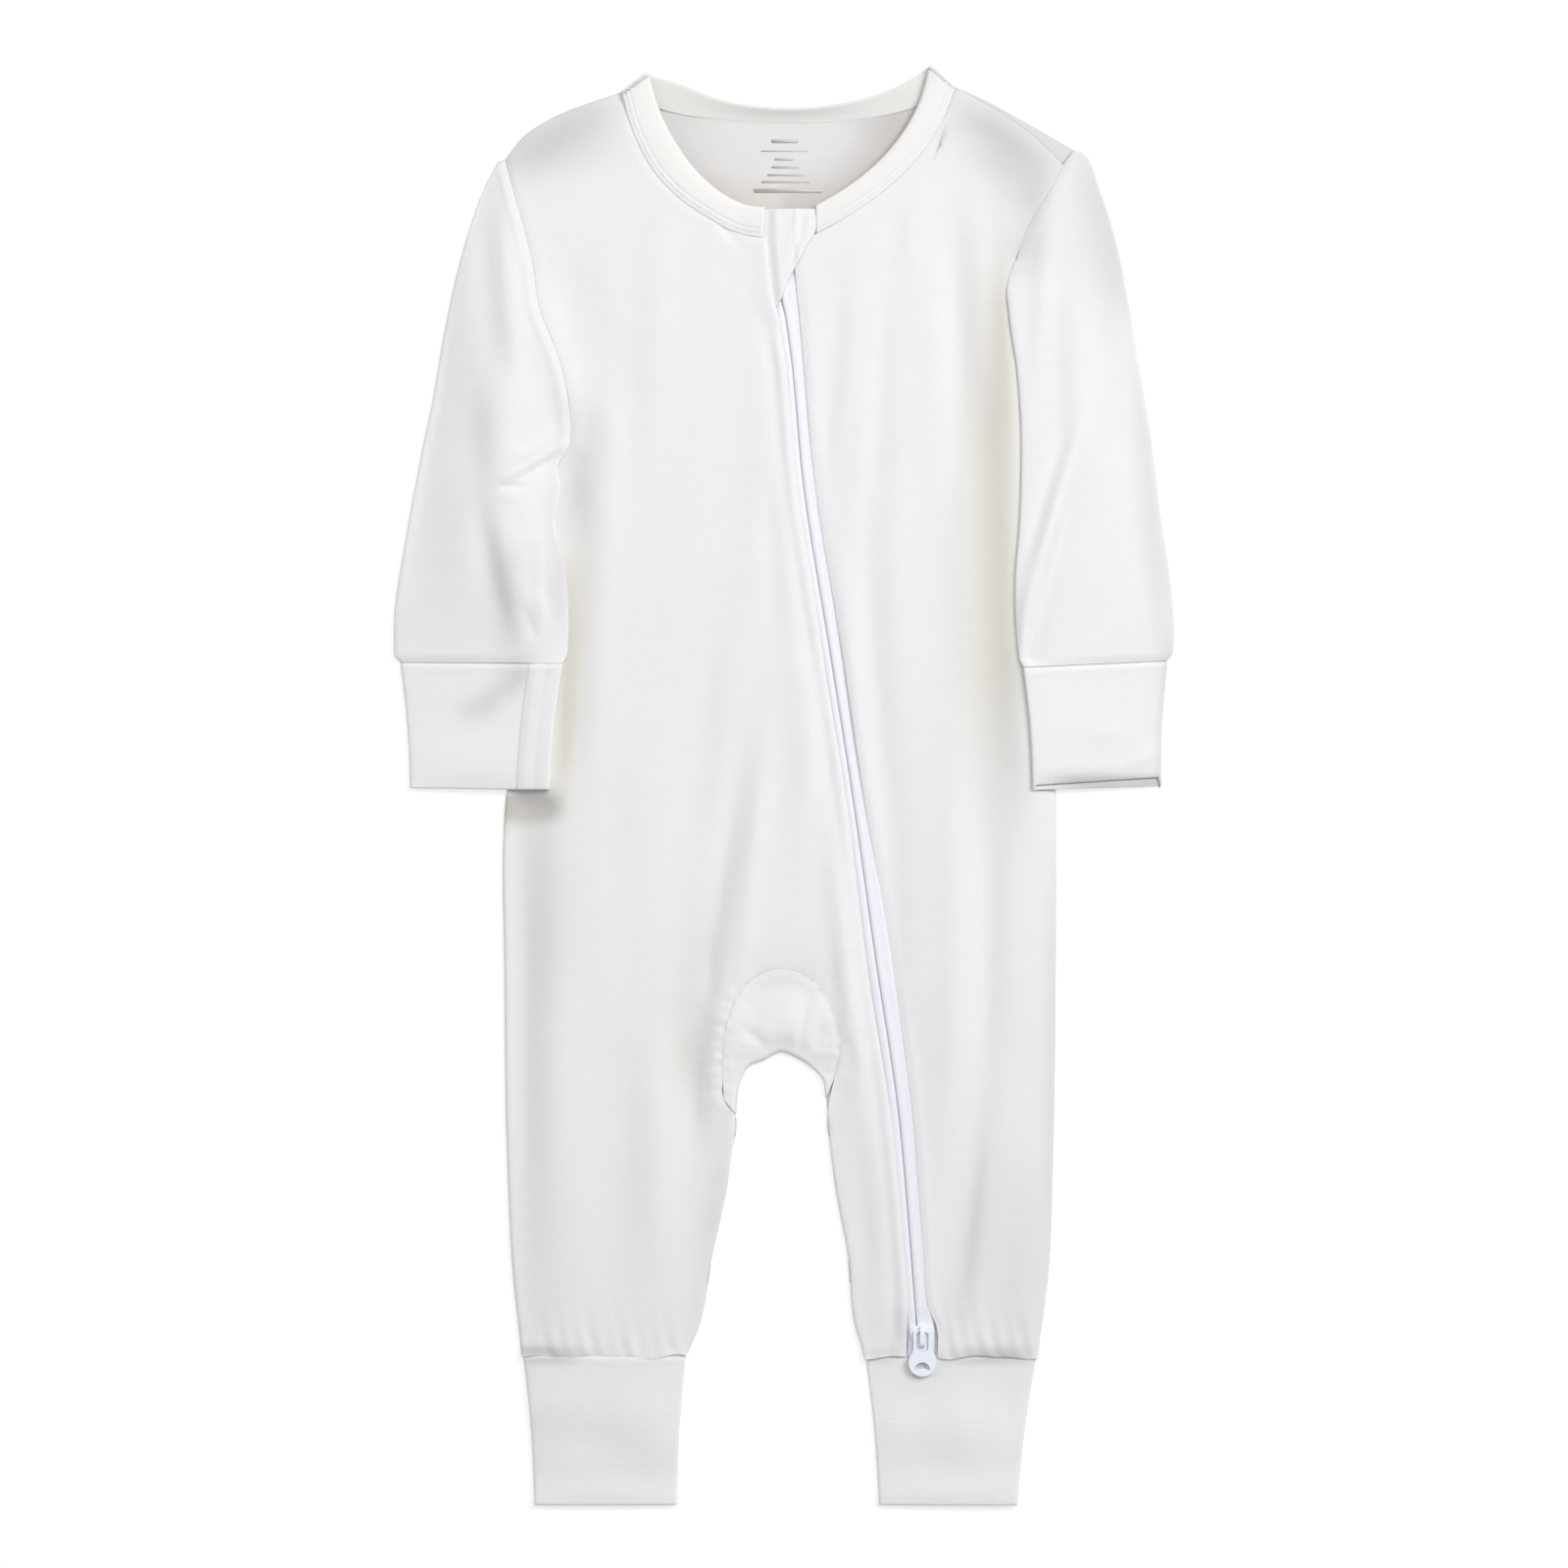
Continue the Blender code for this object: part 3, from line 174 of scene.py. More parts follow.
bpy.context.scene.collection.objects.link(floor)


# ---- Back
# One panel of thin viscose jersey, body and both legs in one, lying flat on the table and sewn to the fronts
# all round. Its inside shows through the neck. The knit is warm white, with faint slubs across the garment.
KNIT = 0.7              # the jersey's wall
CUFF_SEAM_Y = -233.0    # where the leg cuffs are sewn on
BAND_LAP = 0.8          # how far the back reaches under the neck band

# The body's outline. Above CLOSE_RIGHT and CLOSE_LEFT a sleeve is sewn to it, and below them it is a side.
Side = namedtuple("Side", "y right left")
SIDES = (
    Side(259, -114.2, 118.8),
    Side(253, -113.2, 114.2),
    Side(245, -111.2, 110.2),
    Side(225, -105.6, 98.6),
    Side(214, -102.8, 95.2),
    Side(195, -99.8, 95.4),
    Side(170, -90.6, 98.8),
    Side(150, -87.2, 102.4),
    Side(140, -87.4, 104.0),
    Side(132, -92.0, 105.2),
    Side(120, -96.4, 106.4),
    Side(80, -101.6, 108.2),
    Side(30, -109.0, 110.0),
    Side(-10, -113.8, 111.0),
    Side(-80, -114.0, 110.8),
    Side(-150, -113.0, 109.8),
    Side(-200, -110.6, 107.8),
    Side(CUFF_SEAM_Y, -107.0, 103.6),
)
CLOSE_RIGHT = 139.6
CLOSE_LEFT = 214.2

# The shoulder folds from the neck out to the armholes, and where the back reaches further at the left one
Shoulder = namedtuple("Shoulder", "right_x right_y left_x left_y left_back_x left_back_y")
SHOULDERS = (
    Shoulder(-66.2, 282.6, 69.8, 284.6, 69.8, 285.2),
    Shoulder(-80.0, 278.0, 81.2, 278.8, 81.8, 280.0),
    Shoulder(-95.8, 271.4, 96.0, 269.4, 97.6, 271.4),
    Shoulder(-107.0, 263.6, 106.4, 261.0, 109.8, 264.4),
    Shoulder(-113.4, 255.4, 114.2, 253.0, 118.8, 259.0),
)
ARMHOLE_TOP = {"right": SHOULDERS[-1].right_y, "left": SHOULDERS[-1].left_y}

# The neck band behind: its seam, its free edge and how high that edge stands
BackBand = namedtuple("BackBand", "seam_x seam_y edge_x edge_y edge_height")
BAND_BACK = (
    BackBand(-46.0, 274.6, -43.8, 286.2, 2.0),
    BackBand(-25.8, 271.6, -25.0, 279.0, 3.0),
    BackBand(0.2, 270.0, 0.2, 275.8, 3.4),
    BackBand(28.2, 271.4, 27.6, 278.6, 3.0),
    BackBand(49.6, 275.4, 49.8, 286.4, 2.0),
)

# The arched piece over the crotch: its seam with the fronts, and the crotch's edge below it
Gusset = namedtuple("Gusset", "arch_x arch_y crotch_x crotch_y")
GUSSET = (
    Gusset(-24.6, -129.0, -19.8, -135.0),
    Gusset(-25.0, -112.0, -17.8, -121.0),
    Gusset(-22.4, -94.2, -14.6, -115.4),
    Gusset(-13.0, -79.6, -8.0, -112.6),
    Gusset(-1.4, -75.4, -1.4, -109.4),
    Gusset(11.0, -79.6, 5.5, -112.0),
    Gusset(19.8, -92.8, 11.6, -115.8),
    Gusset(23.2, -107.0, 16.0, -120.6),
    Gusset(20.6, -120.0, 17.2, -128.0),
)

# The legs' inner edges, from the gusset down
Leg = namedtuple("Leg", "y right left")
INNER_LEGS = (
    Leg(-136, -19.8, 17.8),
    Leg(-165, -23.6, 21.2),
    Leg(-192, -29.4, 26.2),
    Leg(-222, -35.2, 29.4),
    Leg(CUFF_SEAM_Y, -40.0, 33.0),
)


def smooth(stations, values, at):
    """A smooth curve through the values at the stations, read at other places."""
    order = np.argsort(stations)
    xs = np.asarray(stations, float)[order]
    ys = np.asarray(values, float)[order]
    slopes = np.gradient(ys, xs)
    i = np.clip(np.searchsorted(xs, at) - 1, 0, len(xs) - 2)
    step = xs[i + 1] - xs[i]
    t = np.clip((at - xs[i]) / step, 0.0, 1.0)
    start = ys[i] * (1 + 2 * t) * (1 - t) ** 2 + slopes[i] * step * t * (1 - t) ** 2
    end = ys[i + 1] * t**2 * (3 - 2 * t) - slopes[i + 1] * step * t**2 * (1 - t)
    return start + end


def hump(distance, middle, half_width):
    """A soft rise to 1 at the middle, which has almost gone two half-widths away."""
    return np.exp(-(((distance - middle) / half_width) ** 2))


def column(table, name):
    """One named column of a table, top row first."""
    return [getattr(row, name) for row in table]


def edge_x(table, name, y):
    """Where a table's edge lies at the height y."""
    return smooth(column(table, "y"), column(table, name), y)


def lengths(points):
    """How far along its points each point of a curve lies, from 0 to 1."""
    points = np.asarray(points, float)
    steps = np.hypot(*np.diff(points, axis=0).T)
    return np.concatenate([[0.0], np.cumsum(steps)]) / steps.sum()


def path(points):
    """The smooth plane curve through the points, as a function of 0 to 1 along its length."""
    points = np.asarray(points, float)
    stations = lengths(points)

    def at(t):
        t = np.asarray(t, float)
        return np.stack([smooth(stations, points[:, 0], t), smooth(stations, points[:, 1], t)], -1)

    return at


def joined(curves, shares):
    """Plane curves end to end as one; each takes its share of the whole."""
    ends = np.concatenate([[0.0], np.cumsum(shares)]) / np.sum(shares)

    def at(t):
        t = np.asarray(t, float)
        which = np.clip(np.searchsorted(ends, t, side="right") - 1, 0, len(curves) - 1)
        points = np.zeros(t.shape + (2,))
        for i, curve in enumerate(curves):
            local = np.clip((t - ends[i]) / (ends[i + 1] - ends[i]), 0, 1)
            points = np.where((which == i)[..., None], curve(local), points)
        return points

    return at


def table_path(table, x_name, y_name):
    """The smooth curve through two columns of a table."""
    return path(list(zip(column(table, x_name), column(table, y_name))))


def climb(table, name, bottom, top):
    """An edge of a table as a curve from the height bottom (0) up to the height top (1)."""

    def at(t):
        y = bottom + (top - bottom) * np.asarray(t, float)
        return np.stack([edge_x(table, name, y), y], -1)

    return at


def shares_of(heights):
    """Heights as shares of the way from the lowest to the highest."""
    heights = np.asarray(heights, float)
    return (heights - heights[0]) / (heights[-1] - heights[0])


def finer(stations, span, step):
    """Stations from 0 to 1 with more set between them, so that over that span they lie a step apart."""
    parts = []
    for a, b in zip(stations[:-1], stations[1:]):
        parts.append(np.linspace(a, b, max(1, round((b - a) * span / step)), endpoint=False))
    return np.append(np.concatenate(parts), stations[-1])


def spaced(*cells):
    """Column places from 0 to 1: each cell is a share of the width."""
    places = np.concatenate([[0.0], np.cumsum(cells)])
    return places / places[-1]


def patch(left, right, bottom, top, us, vs):
    """Plane points spread evenly inside four curves: rows run up, columns run from left to right."""
    u, v = np.meshgrid(us, vs)
    u, v = u[..., None], v[..., None]
    across = (1 - u) * left(v[..., 0]) + u * right(v[..., 0])
    along = (1 - v) * bottom(u[..., 0]) + v * top(u[..., 0])
    corners = (1 - u) * (1 - v) * bottom(0.0) + u * (1 - v) * bottom(1.0)
    corners = corners + (1 - u) * v * top(0.0) + u * v * top(1.0)
    return across + along - corners


def raised(plane, heights):
    """Plane points with their heights."""
    return np.concatenate([plane, heights[..., None]], axis=-1)


def leg_edge(name, steps):
    """The inner edge of a leg, from its cuff up to the crotch."""
    ys = np.linspace(CUFF_SEAM_Y, INNER_LEGS[0].y, steps)
    return np.stack([edge_x(INNER_LEGS, name, ys), ys], -1)


def neckline(band, apart):
    """The body's neck edge: the band's seam line, moved that far away from the band."""
    moved = []
    for row in band:
        away = np.array([row.seam_x - row.edge_x, row.seam_y - row.edge_y])
        moved.append(tuple(np.array([row.seam_x, row.seam_y]) + apart * away / np.hypot(*away)))
    return moved


def show(name, bm, material, wall=None):
    """Makes the mesh an object of the scene, with a wall about its surface where one is given."""
    mesh = bpy.data.meshes.new(name)
    bm.to_mesh(mesh)
    bm.free()
    mesh.shade_smooth()
    mesh.materials.append(material)
    obj = bpy.data.objects.new(name, mesh)
    bpy.context.scene.collection.objects.link(obj)
    if wall:
        solidify = obj.modifiers.new("wall", "SOLIDIFY")
        solidify.thickness = wall * MM
        solidify.offset = 0.0
    return obj


def cloth(name, points, wall, material, keep=None, ring=False, knit=None, deep=None, painted_shade=None):
    """A wall of cloth over rows of points in millimetres; cells where keep is false are left out.

    knit gives each point's place in the cut cloth, for the material; it is the plan where it isn't given.
    deep, from 0 to 1, is how far each point lies in the cloth's hollows, where a creamy shade is painted into
    its colour, and the last argument is painted grey shade where the cloth turns away from the light or lies
    in shadow.
    """
    rows, columns = points.shape[:2]
    knit = points[..., :2] if knit is None else knit
    bm = bmesh.new()
    # Two tones of painted shade for each point: creamy in the hollows, grey where the cloth turns from the
    # light
    for layer in ("hollow_shade", "painted_shade"):
        bm.verts.layers.float.new(layer)
    tones = [(bm.verts.layers.float[layer], values) for layer, values in (("hollow_shade", deep), ("painted_shade", painted_shade))]
    bmesh.ops.create_grid(bm, x_segments=columns - 1, y_segments=rows - 1, size=0.5)
    place = {}
    for vert in bm.verts:
        i = round((vert.co.x + 0.5) * (columns - 1))
        j = round((vert.co.y + 0.5) * (rows - 1))
        place[vert] = (j, i)
    if keep is not None:
        gone = [f for f in bm.faces if not keep[tuple(np.min([place[v] for v in f.verts], axis=0))]]
        bmesh.ops.delete(bm, geom=gone, context="FACES")
    uv_layer = bm.loops.layers.uv.new("knit")
    for face in bm.faces:
        for loop in face.loops:
            loop[uv_layer].uv = knit[place[loop.vert]] * MM
    for vert in bm.verts:
        vert.co = points[place[vert]] * MM
        for layer, values in tones:
            vert[layer] = 0.0 if values is None else min(1.0, max(0.0, float(values[place[vert]])))
    if ring:
        bmesh.ops.remove_doubles(bm, verts=bm.verts, dist=1e-6)
    bmesh.ops.recalc_face_normals(bm, faces=bm.faces)
    return show(name, bm, material, wall)


# Colours multiplied in as painted shade: grey where the cloth turns away from the light or lies in shadow,
# creamy in its hollows
PAINTED_SHADE_TINT = (0.70, 0.70, 0.72)
PAINTED_HOLLOW_TINT = (0.93, 0.91, 0.825)


def knitted(name, pale, deep, slub):
    """Fine knit: streaks of thicker yarn across the cloth, and its loops, with painted shade from the cloth's
    attributes.
    """
    material, shader, nodes = new_material(name, 0.82, 0.25, sheen=0.05, sheen_roughness=0.4, glow=0.35)
    knit = nodes.node("ShaderNodeUVMap", {"uv_map": "knit"}, {})

    def noise(across, along, detail=2.0):
        spread = nodes.node("ShaderNodeMapping", {}, {"Vector": knit, "Scale": (across, along, 1.0)})
        return nodes.node("ShaderNodeTexNoise", {}, {"Vector": spread, "Scale": 1.0, "Detail": detail})

    streaks = noise(90.0, 1900.0)
    patches = noise(22.0, 70.0)
    yarn = noise(2200.0, 2600.0, 1.0)
    cloud = noise(9.0, 9.0)
    tone = streaks * 0.5 + patches * 0.2 + cloud * 0.3
    yarn_tone = nodes.node("ShaderNodeMapRange", {}, {"Value": tone, "From Min": 0.3, "From Max": 0.7})
    # Painted shade: the cloth's attributes take its colour towards grey where it turns from the light or lies
    # in shadow, and towards cream in its hollows
    hollow_shade = nodes.node("ShaderNodeAttribute", {"attribute_name": "hollow_shade"}, {}, output=2)
    painted_shade = nodes.node("ShaderNodeAttribute", {"attribute_name": "painted_shade"}, {}, output=2)
    toned = painted_shade.shaded(yarn_tone.color(deep, pale), PAINTED_SHADE_TINT)
    feed(shader, "Base Color", hollow_shade.shaded(toned, PAINTED_HOLLOW_TINT))
    height = streaks * slub + yarn * 0.35
    bump = nodes.node("ShaderNodeBump", {}, {"Height": height, "Strength": 0.35, "Distance": 0.00022})
    feed(shader, "Normal", bump)
    return material


jersey = knitted("jersey", (0.825, 0.81, 0.775), (0.79, 0.775, 0.74), 1.0)


def sewn(piece, node):
    """The piece stands for a node of the garment: it joins the garment's body, and the node's own part is
    hidden.
    """
    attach(piece, "garment")
    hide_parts(node)


BACK_SPLIT_Y = -116.0    # the row between the legs and the body
SHOULDER_AT = 0.75       # how far across a leg the shoulder above it starts


def back_points():
    """The back's plane points, legs and body, and which cells between them are cloth."""
    crotch = list(zip(column(GUSSET, "crotch_x"), column(GUSSET, "crotch_y")))
    crown = crotch[2:7]
    right_side = climb(SIDES, "right", BACK_SPLIT_Y, ARMHOLE_TOP["right"])
    left_side = climb(SIDES, "left", BACK_SPLIT_Y, SHOULDERS[-1].left_back_y)
    right_foot = right_side(0.0)
    left_foot = left_side(0.0)
    widths = (crown[0][0] - right_foot[0], crown[-1][0] - crown[0][0], left_foot[0] - crown[-1][0])
    over_right = path([right_foot, crown[0]])
    over_left = path([crown[-1], left_foot])
    leg_us = finer(np.array([0, 0.02, 0.25, 0.5, SHOULDER_AT, 0.98, 1]), widths[0], 5.0)
    crown_us = finer(lengths(crown), widths[1], 3.0)
    us = np.concatenate([
        leg_us[:-1] * widths[0],
        widths[0] + crown_us[:-1] * widths[1],
        widths[0] + widths[1] + leg_us * widths[2],
    ]) / sum(widths)
    shoulder_right = path(list(zip(column(SHOULDERS, "right_x"), column(SHOULDERS, "right_y")))[::-1])
    shoulder_left = table_path(SHOULDERS, "left_back_x", "left_back_y")
    neck = path([SHOULDERS[0][:2]] + neckline(BAND_BACK, -BAND_LAP) + [SHOULDERS[0][4:]])
    top_y = ARMHOLE_TOP["right"]
    body_ys = [np.linspace(BACK_SPLIT_Y, 120, 60), np.linspace(125, top_y - 0.8, 39), [top_y - 0.2, top_y]]
    first = int(np.searchsorted(us, SHOULDER_AT * widths[0] / sum(widths) - 1e-6))
    last = len(us) - 1 - int(np.searchsorted(leg_us, SHOULDER_AT - 1e-6))
    body = patch(
        right_side, left_side, joined([over_right, path(crown), over_left], widths),
        joined([shoulder_right, neck, shoulder_left], [us[first], us[last] - us[first], 1 - us[last]]),
        us, shares_of(np.concatenate(body_ys)),
    )
    legs = []
    for name, upper in (("right", crotch[:3]), ("left", crotch[6:][::-1])):
        inside = np.concatenate([leg_edge(name, 7), upper])
        side = climb(SIDES, name, CUFF_SEAM_Y, BACK_SPLIT_Y)
        foot = [side(0.0), inside[0]]
        edges = (side, path(inside), path(foot), over_right)
        if name == "left":
            edges = (path(inside), side, path(foot[::-1]), over_left)
        legs.append(patch(*edges, leg_us, np.linspace(0, 1, 46)))
    blank = np.repeat(legs[0][:, -1:], len(crown_us) - 2, axis=1)
    plane = np.concatenate([np.concatenate([legs[0], blank, legs[1]], axis=1)[:-1], body], axis=0)
    keep = np.ones((len(plane) - 1, len(us) - 1), bool)
    keep[:len(legs[0]) - 1, len(leg_us) - 1:len(leg_us) + len(crown_us) - 2] = False
    return plane, keep


def inside_painted_shade(plane):
    """Painted creamy and grey shade on the inside under the neck's edge, most on the side towards the light,
    and painted grey shade on the upper back beside the shoulders.
    """
    x, y = plane[..., 0], plane[..., 1]
    from_middle = np.hypot((x - 1.0) / 46.0, (y - 274.0) / 42.0)
    upper = y > 200
    shaded = (from_middle < 1.3) * upper
    under_edge = hump(from_middle, 0.98, 0.3)
    deep = shaded * under_edge * np.where((x > 0) | (y < 248), 0.8, 0.3)
    painted_shade = shaded * (0.5 + 0.5 * under_edge * np.where(x > 0, 1.0, 0.3))
    return deep, np.where(np.abs(x) > 60, 0.7, painted_shade) * upper


def back_height(plane):
    """The back lies flat, and is drawn up a little where the neck band is sewn on."""
    to_band = smooth(column(BAND_BACK, "seam_x"), column(BAND_BACK, "seam_y"), plane[..., 0]) - plane[..., 1]
    return KNIT / 2 + 0.3 * np.clip(1 - to_band / 3, 0, 1) * (np.abs(plane[..., 0]) < 50)


plane, keep = back_points()
# The back's colour gets painted shade inside the neck and beside the shoulders
deep, painted_shade = inside_painted_shade(plane)
heights = back_height(plane)
back = cloth("back_panel", raised(plane, heights), KNIT, jersey, keep, deep=deep, painted_shade=painted_shade)
sewn(back, "back")

# The size print inside the back of the neck is left as plain bars of faded ink
Bar = namedtuple("Bar", "x y width height")
PRINT_BARS = (
    Bar(0.2, 262.8, 11.0, 1.6),
    Bar(0.2, 258.8, 19.0, 0.6),
    Bar(0.2, 255.4, 8.0, 1.0),
    Bar(0.4, 252.2, 11.0, 1.0),
    Bar(0.6, 249.0, 15.0, 0.9),
    Bar(0.8, 246.2, 20.0, 0.9),
    Bar(1.6, 242.6, 28.0, 1.9),
)
INK_WALL = 0.02
ink, ink_shader, ink_nodes = new_material("faded_ink", 0.85, 0.2)
place = ink_nodes.node("ShaderNodeTexCoord", {}, {}, output=3)
grain = ink_nodes.node("ShaderNodeTexNoise", {}, {"Vector": place, "Scale": 2400.0, "Detail": 2.0})
feed(ink_shader, "Base Color", grain.color((0.50, 0.47, 0.41), (0.74, 0.71, 0.66)))
bm = bmesh.new()
for bar in PRINT_BARS:
    made = bmesh.ops.create_grid(bm, x_segments=1, y_segments=1, size=0.5)
    bmesh.ops.scale(bm, verts=made["verts"], vec=(bar.width * MM, bar.height * MM, 1.0))
    bmesh.ops.translate(bm, verts=made["verts"], vec=(bar.x * MM, bar.y * MM, (KNIT + 0.03) * MM))
corners = list(bm.verts)
bmesh.ops.bevel(bm, geom=corners, affect="VERTICES", offset=0.25 * MM, segments=2, profile=0.5, material=-1)
size_print = show("size_print", bm, ink, INK_WALL)
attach(size_print, "garment")


# ---- Fronts
# Two panels of the same jersey, sewn to the back all round and to the two halves of the zip. They rise from
# the sides, the inner legs and the shoulders. Long soft folds run down them, sharper ones by the crotch.
EDGE_Z = 1.06         # middle of the wall where it is turned down to the back
LOFT = 4.6            # middle of the wall away from its edges
ZIP_RIGHT_Z = 3.8     # middle of the right front's wall beside the zip
ZIP_LEFT_Z = 3.9
ZIP_FLAT = 6.0        # how far from the zip's middle the fronts keep those heights
ZIP_RUN_RIGHT = 12.0  # over what width they rise or fall from there
ZIP_RUN_LEFT = 22.0
ROLL = 20.0           # over what width the shoulders round down
SIDE_ROLL = 13.0      # and the left side
STIFF_EDGE = 9.0      # how far in from a turned edge the folds fade out
LEG_CUFF_TOP_Z = 3.75 # middle of the wall where a leg cuff is sewn on
GUARD_LIFT = 1.5      # how far the zip guard lifts the right front's edge

# The turned edges of the fronts beside the zip
Zip = namedtuple("Zip", "y right_front left_front")
ZIP = (
    Zip(222, -7.2, 2.6),
    Zip(208, -5.7, 4.6),
    Zip(199, -4.7, 5.5),
    Zip(193, -2.9, 6.2),
    Zip(182, -0.8, 7.2),
    Zip(120, 5.8, 13.0),
    Zip(54, 16.2, 23.8),
    Zip(-10, 26.4, 33.4),
    Zip(-70, 34.2, 43.2),
    Zip(-134, 43.8, 52.4),
    Zip(-190, 49.2, 56.8),
    Zip(-214, 50.8, 59.2),
    Zip(-222, 50.2, 62.4),
    Zip(CUFF_SEAM_Y, 49.8, 62.8),
)

# The neck band in front: its seam and its free edge
Band = namedtuple("Band", "seam_x seam_y edge_x edge_y")
BAND_RIGHT = (
    Band(-66.2, 282.6, -56.0, 290.6),
    Band(-61.8, 266.6, -51.4, 275.4),
    Band(-54.2, 251.4, -44.6, 261.8),
    Band(-43.8, 239.8, -35.8, 249.8),
    Band(-31.0, 231.0, -25.0, 240.6),
    Band(-19.0, 224.8, -15.8, 236.2),
    Band(-8.4, 222.6, -7.8, 235.0),
)
BAND_LEFT = (
    Band(69.8, 284.6, 60.0, 293.6),
    Band(65.0, 271.8, 55.4, 277.8),
    Band(56.6, 257.8, 47.4, 263.8),
    Band(43.8, 244.6, 33.8, 249.4),
    Band(27.4, 232.6, 23.4, 241.8),
    Band(13.0, 224.5, 12.9, 235.8),
)

# Places where the cloth leans, each along a line of three points. lean is how steeply it rises towards +X
# across the line, so that those places turn away from the light, or falls where it is negative.
Lean = namedtuple("Lean", "x0 y0 x1 y1 x2 y2 half_width lean")
LEANS = (
    Lean(-60, 262, -57, 190, -60, 90, 9, 0.14),
    Lean(-106, 226, -94, 190, -84, 140, 15, -0.27),
    Lean(-78, 180, -77, 130, -80, 60, 9, 0.24),
    Lean(-80, 130, -80, 50, -84, -40, 8, 0.19),
    Lean(-14, 220, -14, 110, -32, 20, 12, 0.11),
    Lean(-24, 90, -28, 20, -36, -50, 8, 0.16),
    Lean(-9, 44, -23, -50, -38, -152, 7, 0.68),
    Lean(-7, 34, -16, -46, -26, -124, 5, 0.40),
    Lean(-40, 60, -50, -40, -54, -120, 18, -0.12),
    Lean(-76, 20, -70, -50, -70, -120, 11, -0.11),
    Lean(-60, -80, -60, -160, -63, -228, 10, 0.18),
    Lean(-47, -90, -45, -155, -46, -225, 9, -0.20),
    Lean(-98, 30, -100, -80, -102, -225, 13, 0.24),
    Lean(-80, -110, -80, -170, -78, -228, 8, -0.08),
    Lean(1, 190, 3, 130, 6, 70, 5, -0.16),
    Lean(-4, 140, -1, 94, 0, 48, 6, 0.30),
    Lean(10, 100, 14, 8, 10, -56, 8, -0.32),
    Lean(22, 40, 29, -60, 43, -170, 7, -0.56),
    Lean(27, 130, 33, 40, 44, -60, 7, -0.42),
    Lean(19, -2, 22, -60, 27, -138, 5, 0.23),
    Lean(28, -110, 27, -160, 29, -215, 5, -0.16),
    Lean(36, -124, 37, -165, 40, -215, 5, 0.19),
    Lean(17, 216, 15, 160, 15, 110, 5, -0.14),
    Lean(27, 236, 24, 170, 16, 106, 5, 0.22),
    Lean(39, 236, 36, 160, 26, 50, 5, -0.19),
    Lean(51, 254, 49, 225, 49, 190, 5, 0.16),
    Lean(45, 230, 43, 120, 38, 0, 7, 0.15),
    Lean(62, 240, 66, 170, 64, 80, 8, -0.22),
    Lean(72, 264, 75, 200, 80, 110, 8, 0.27),
    Lean(83, 244, 84, 190, 86, 140, 5, -0.16),
    Lean(70, 200, 72, 80, 76, -30, 13, 0.12),
    Lean(86, 236, 88, 120, 92, -20, 8, 0.27),
    Lean(52, 10, 49, -60, 52, -126, 8, 0.19),
    Lean(72, 60, 76, -60, 72, -190, 10, -0.42),
    Lean(88, 6, 87, -66, 82, -132, 8, 0.20),
    Lean(84, -100, 79, -165, 72, -222, 11, 0.27),
    Lean(84, -124, 78, -184, 73, -238, 4, 0.24),
    Lean(66, 272, 86, 268, 108, 252, 7, 0.16),
    Lean(-30, -100, 0, -93, 28, -100, 15, -0.26),
    Lean(-36, -100, -34, -118, -34, -150, 6, 0.20),
)
# Ridges, or troughs where the height is negative, along lines of three points
Crease = namedtuple("Crease", "x0 y0 x1 y1 x2 y2 half_width height")
CREASES = (
    Crease(-88, 120, -87, 50, -88, -30, 6, -1.0),
    Crease(-118, -9, -102, -9, -88, -8, 5.5, -2.4),
    Crease(89, 240, 89, 120, 91, -30, 12, -1.2),
    Crease(-38, -80, -37, -118, -38, -170, 8, -1.9),
    Crease(27, -100, 27, -112, 28, -124, 2.6, -0.9),
    Crease(-28, 229, -23, 225, -17, 218, 2.0, -0.9),
    Crease(-33, -52, -30, -80, -24, -92, 3, -0.5),
    Crease(12, 66, 9, 56, 6, 48, 2.2, -0.6),
    Crease(22, 40, 13, 22, 8, -10, 2.6, 0.8),
    Crease(16, 54, 12, 42, 9, 32, 1.6, 0.5),
    Crease(19, 38, 14, 26, 10, 16, 1.4, -0.4),
    Crease(24, 12, 19, -2, 14, -16, 2.4, 0.6),
)
# Hollows where a creamy shade is painted into the cloth's colour: by the sleeves, under the right cuff and
# beside the gusset.
# Here and in the next table the height is how strong the painted shade is.
PAINTED_HOLLOW_SHADE = (
    Crease(-84, 150, -83, 90, -86, 10, 9, 0.45),
    Crease(-88.5, 110, -88.5, 40, -92, -28, 4.5, 1.5),
    Crease(87, 270, 87, 130, 89, -60, 9, 0.75),
    Crease(90, 230, 88, 190, 91, 120, 4.5, 0.7),
    Crease(79, 215, 79, 90, 80, -45, 14, 0.5),
    Crease(-124, -10, -103, -10, -86, -9, 6, 1.3),
    Crease(-44, -98, -40, -112, -38, -128, 6, 0.5),
)
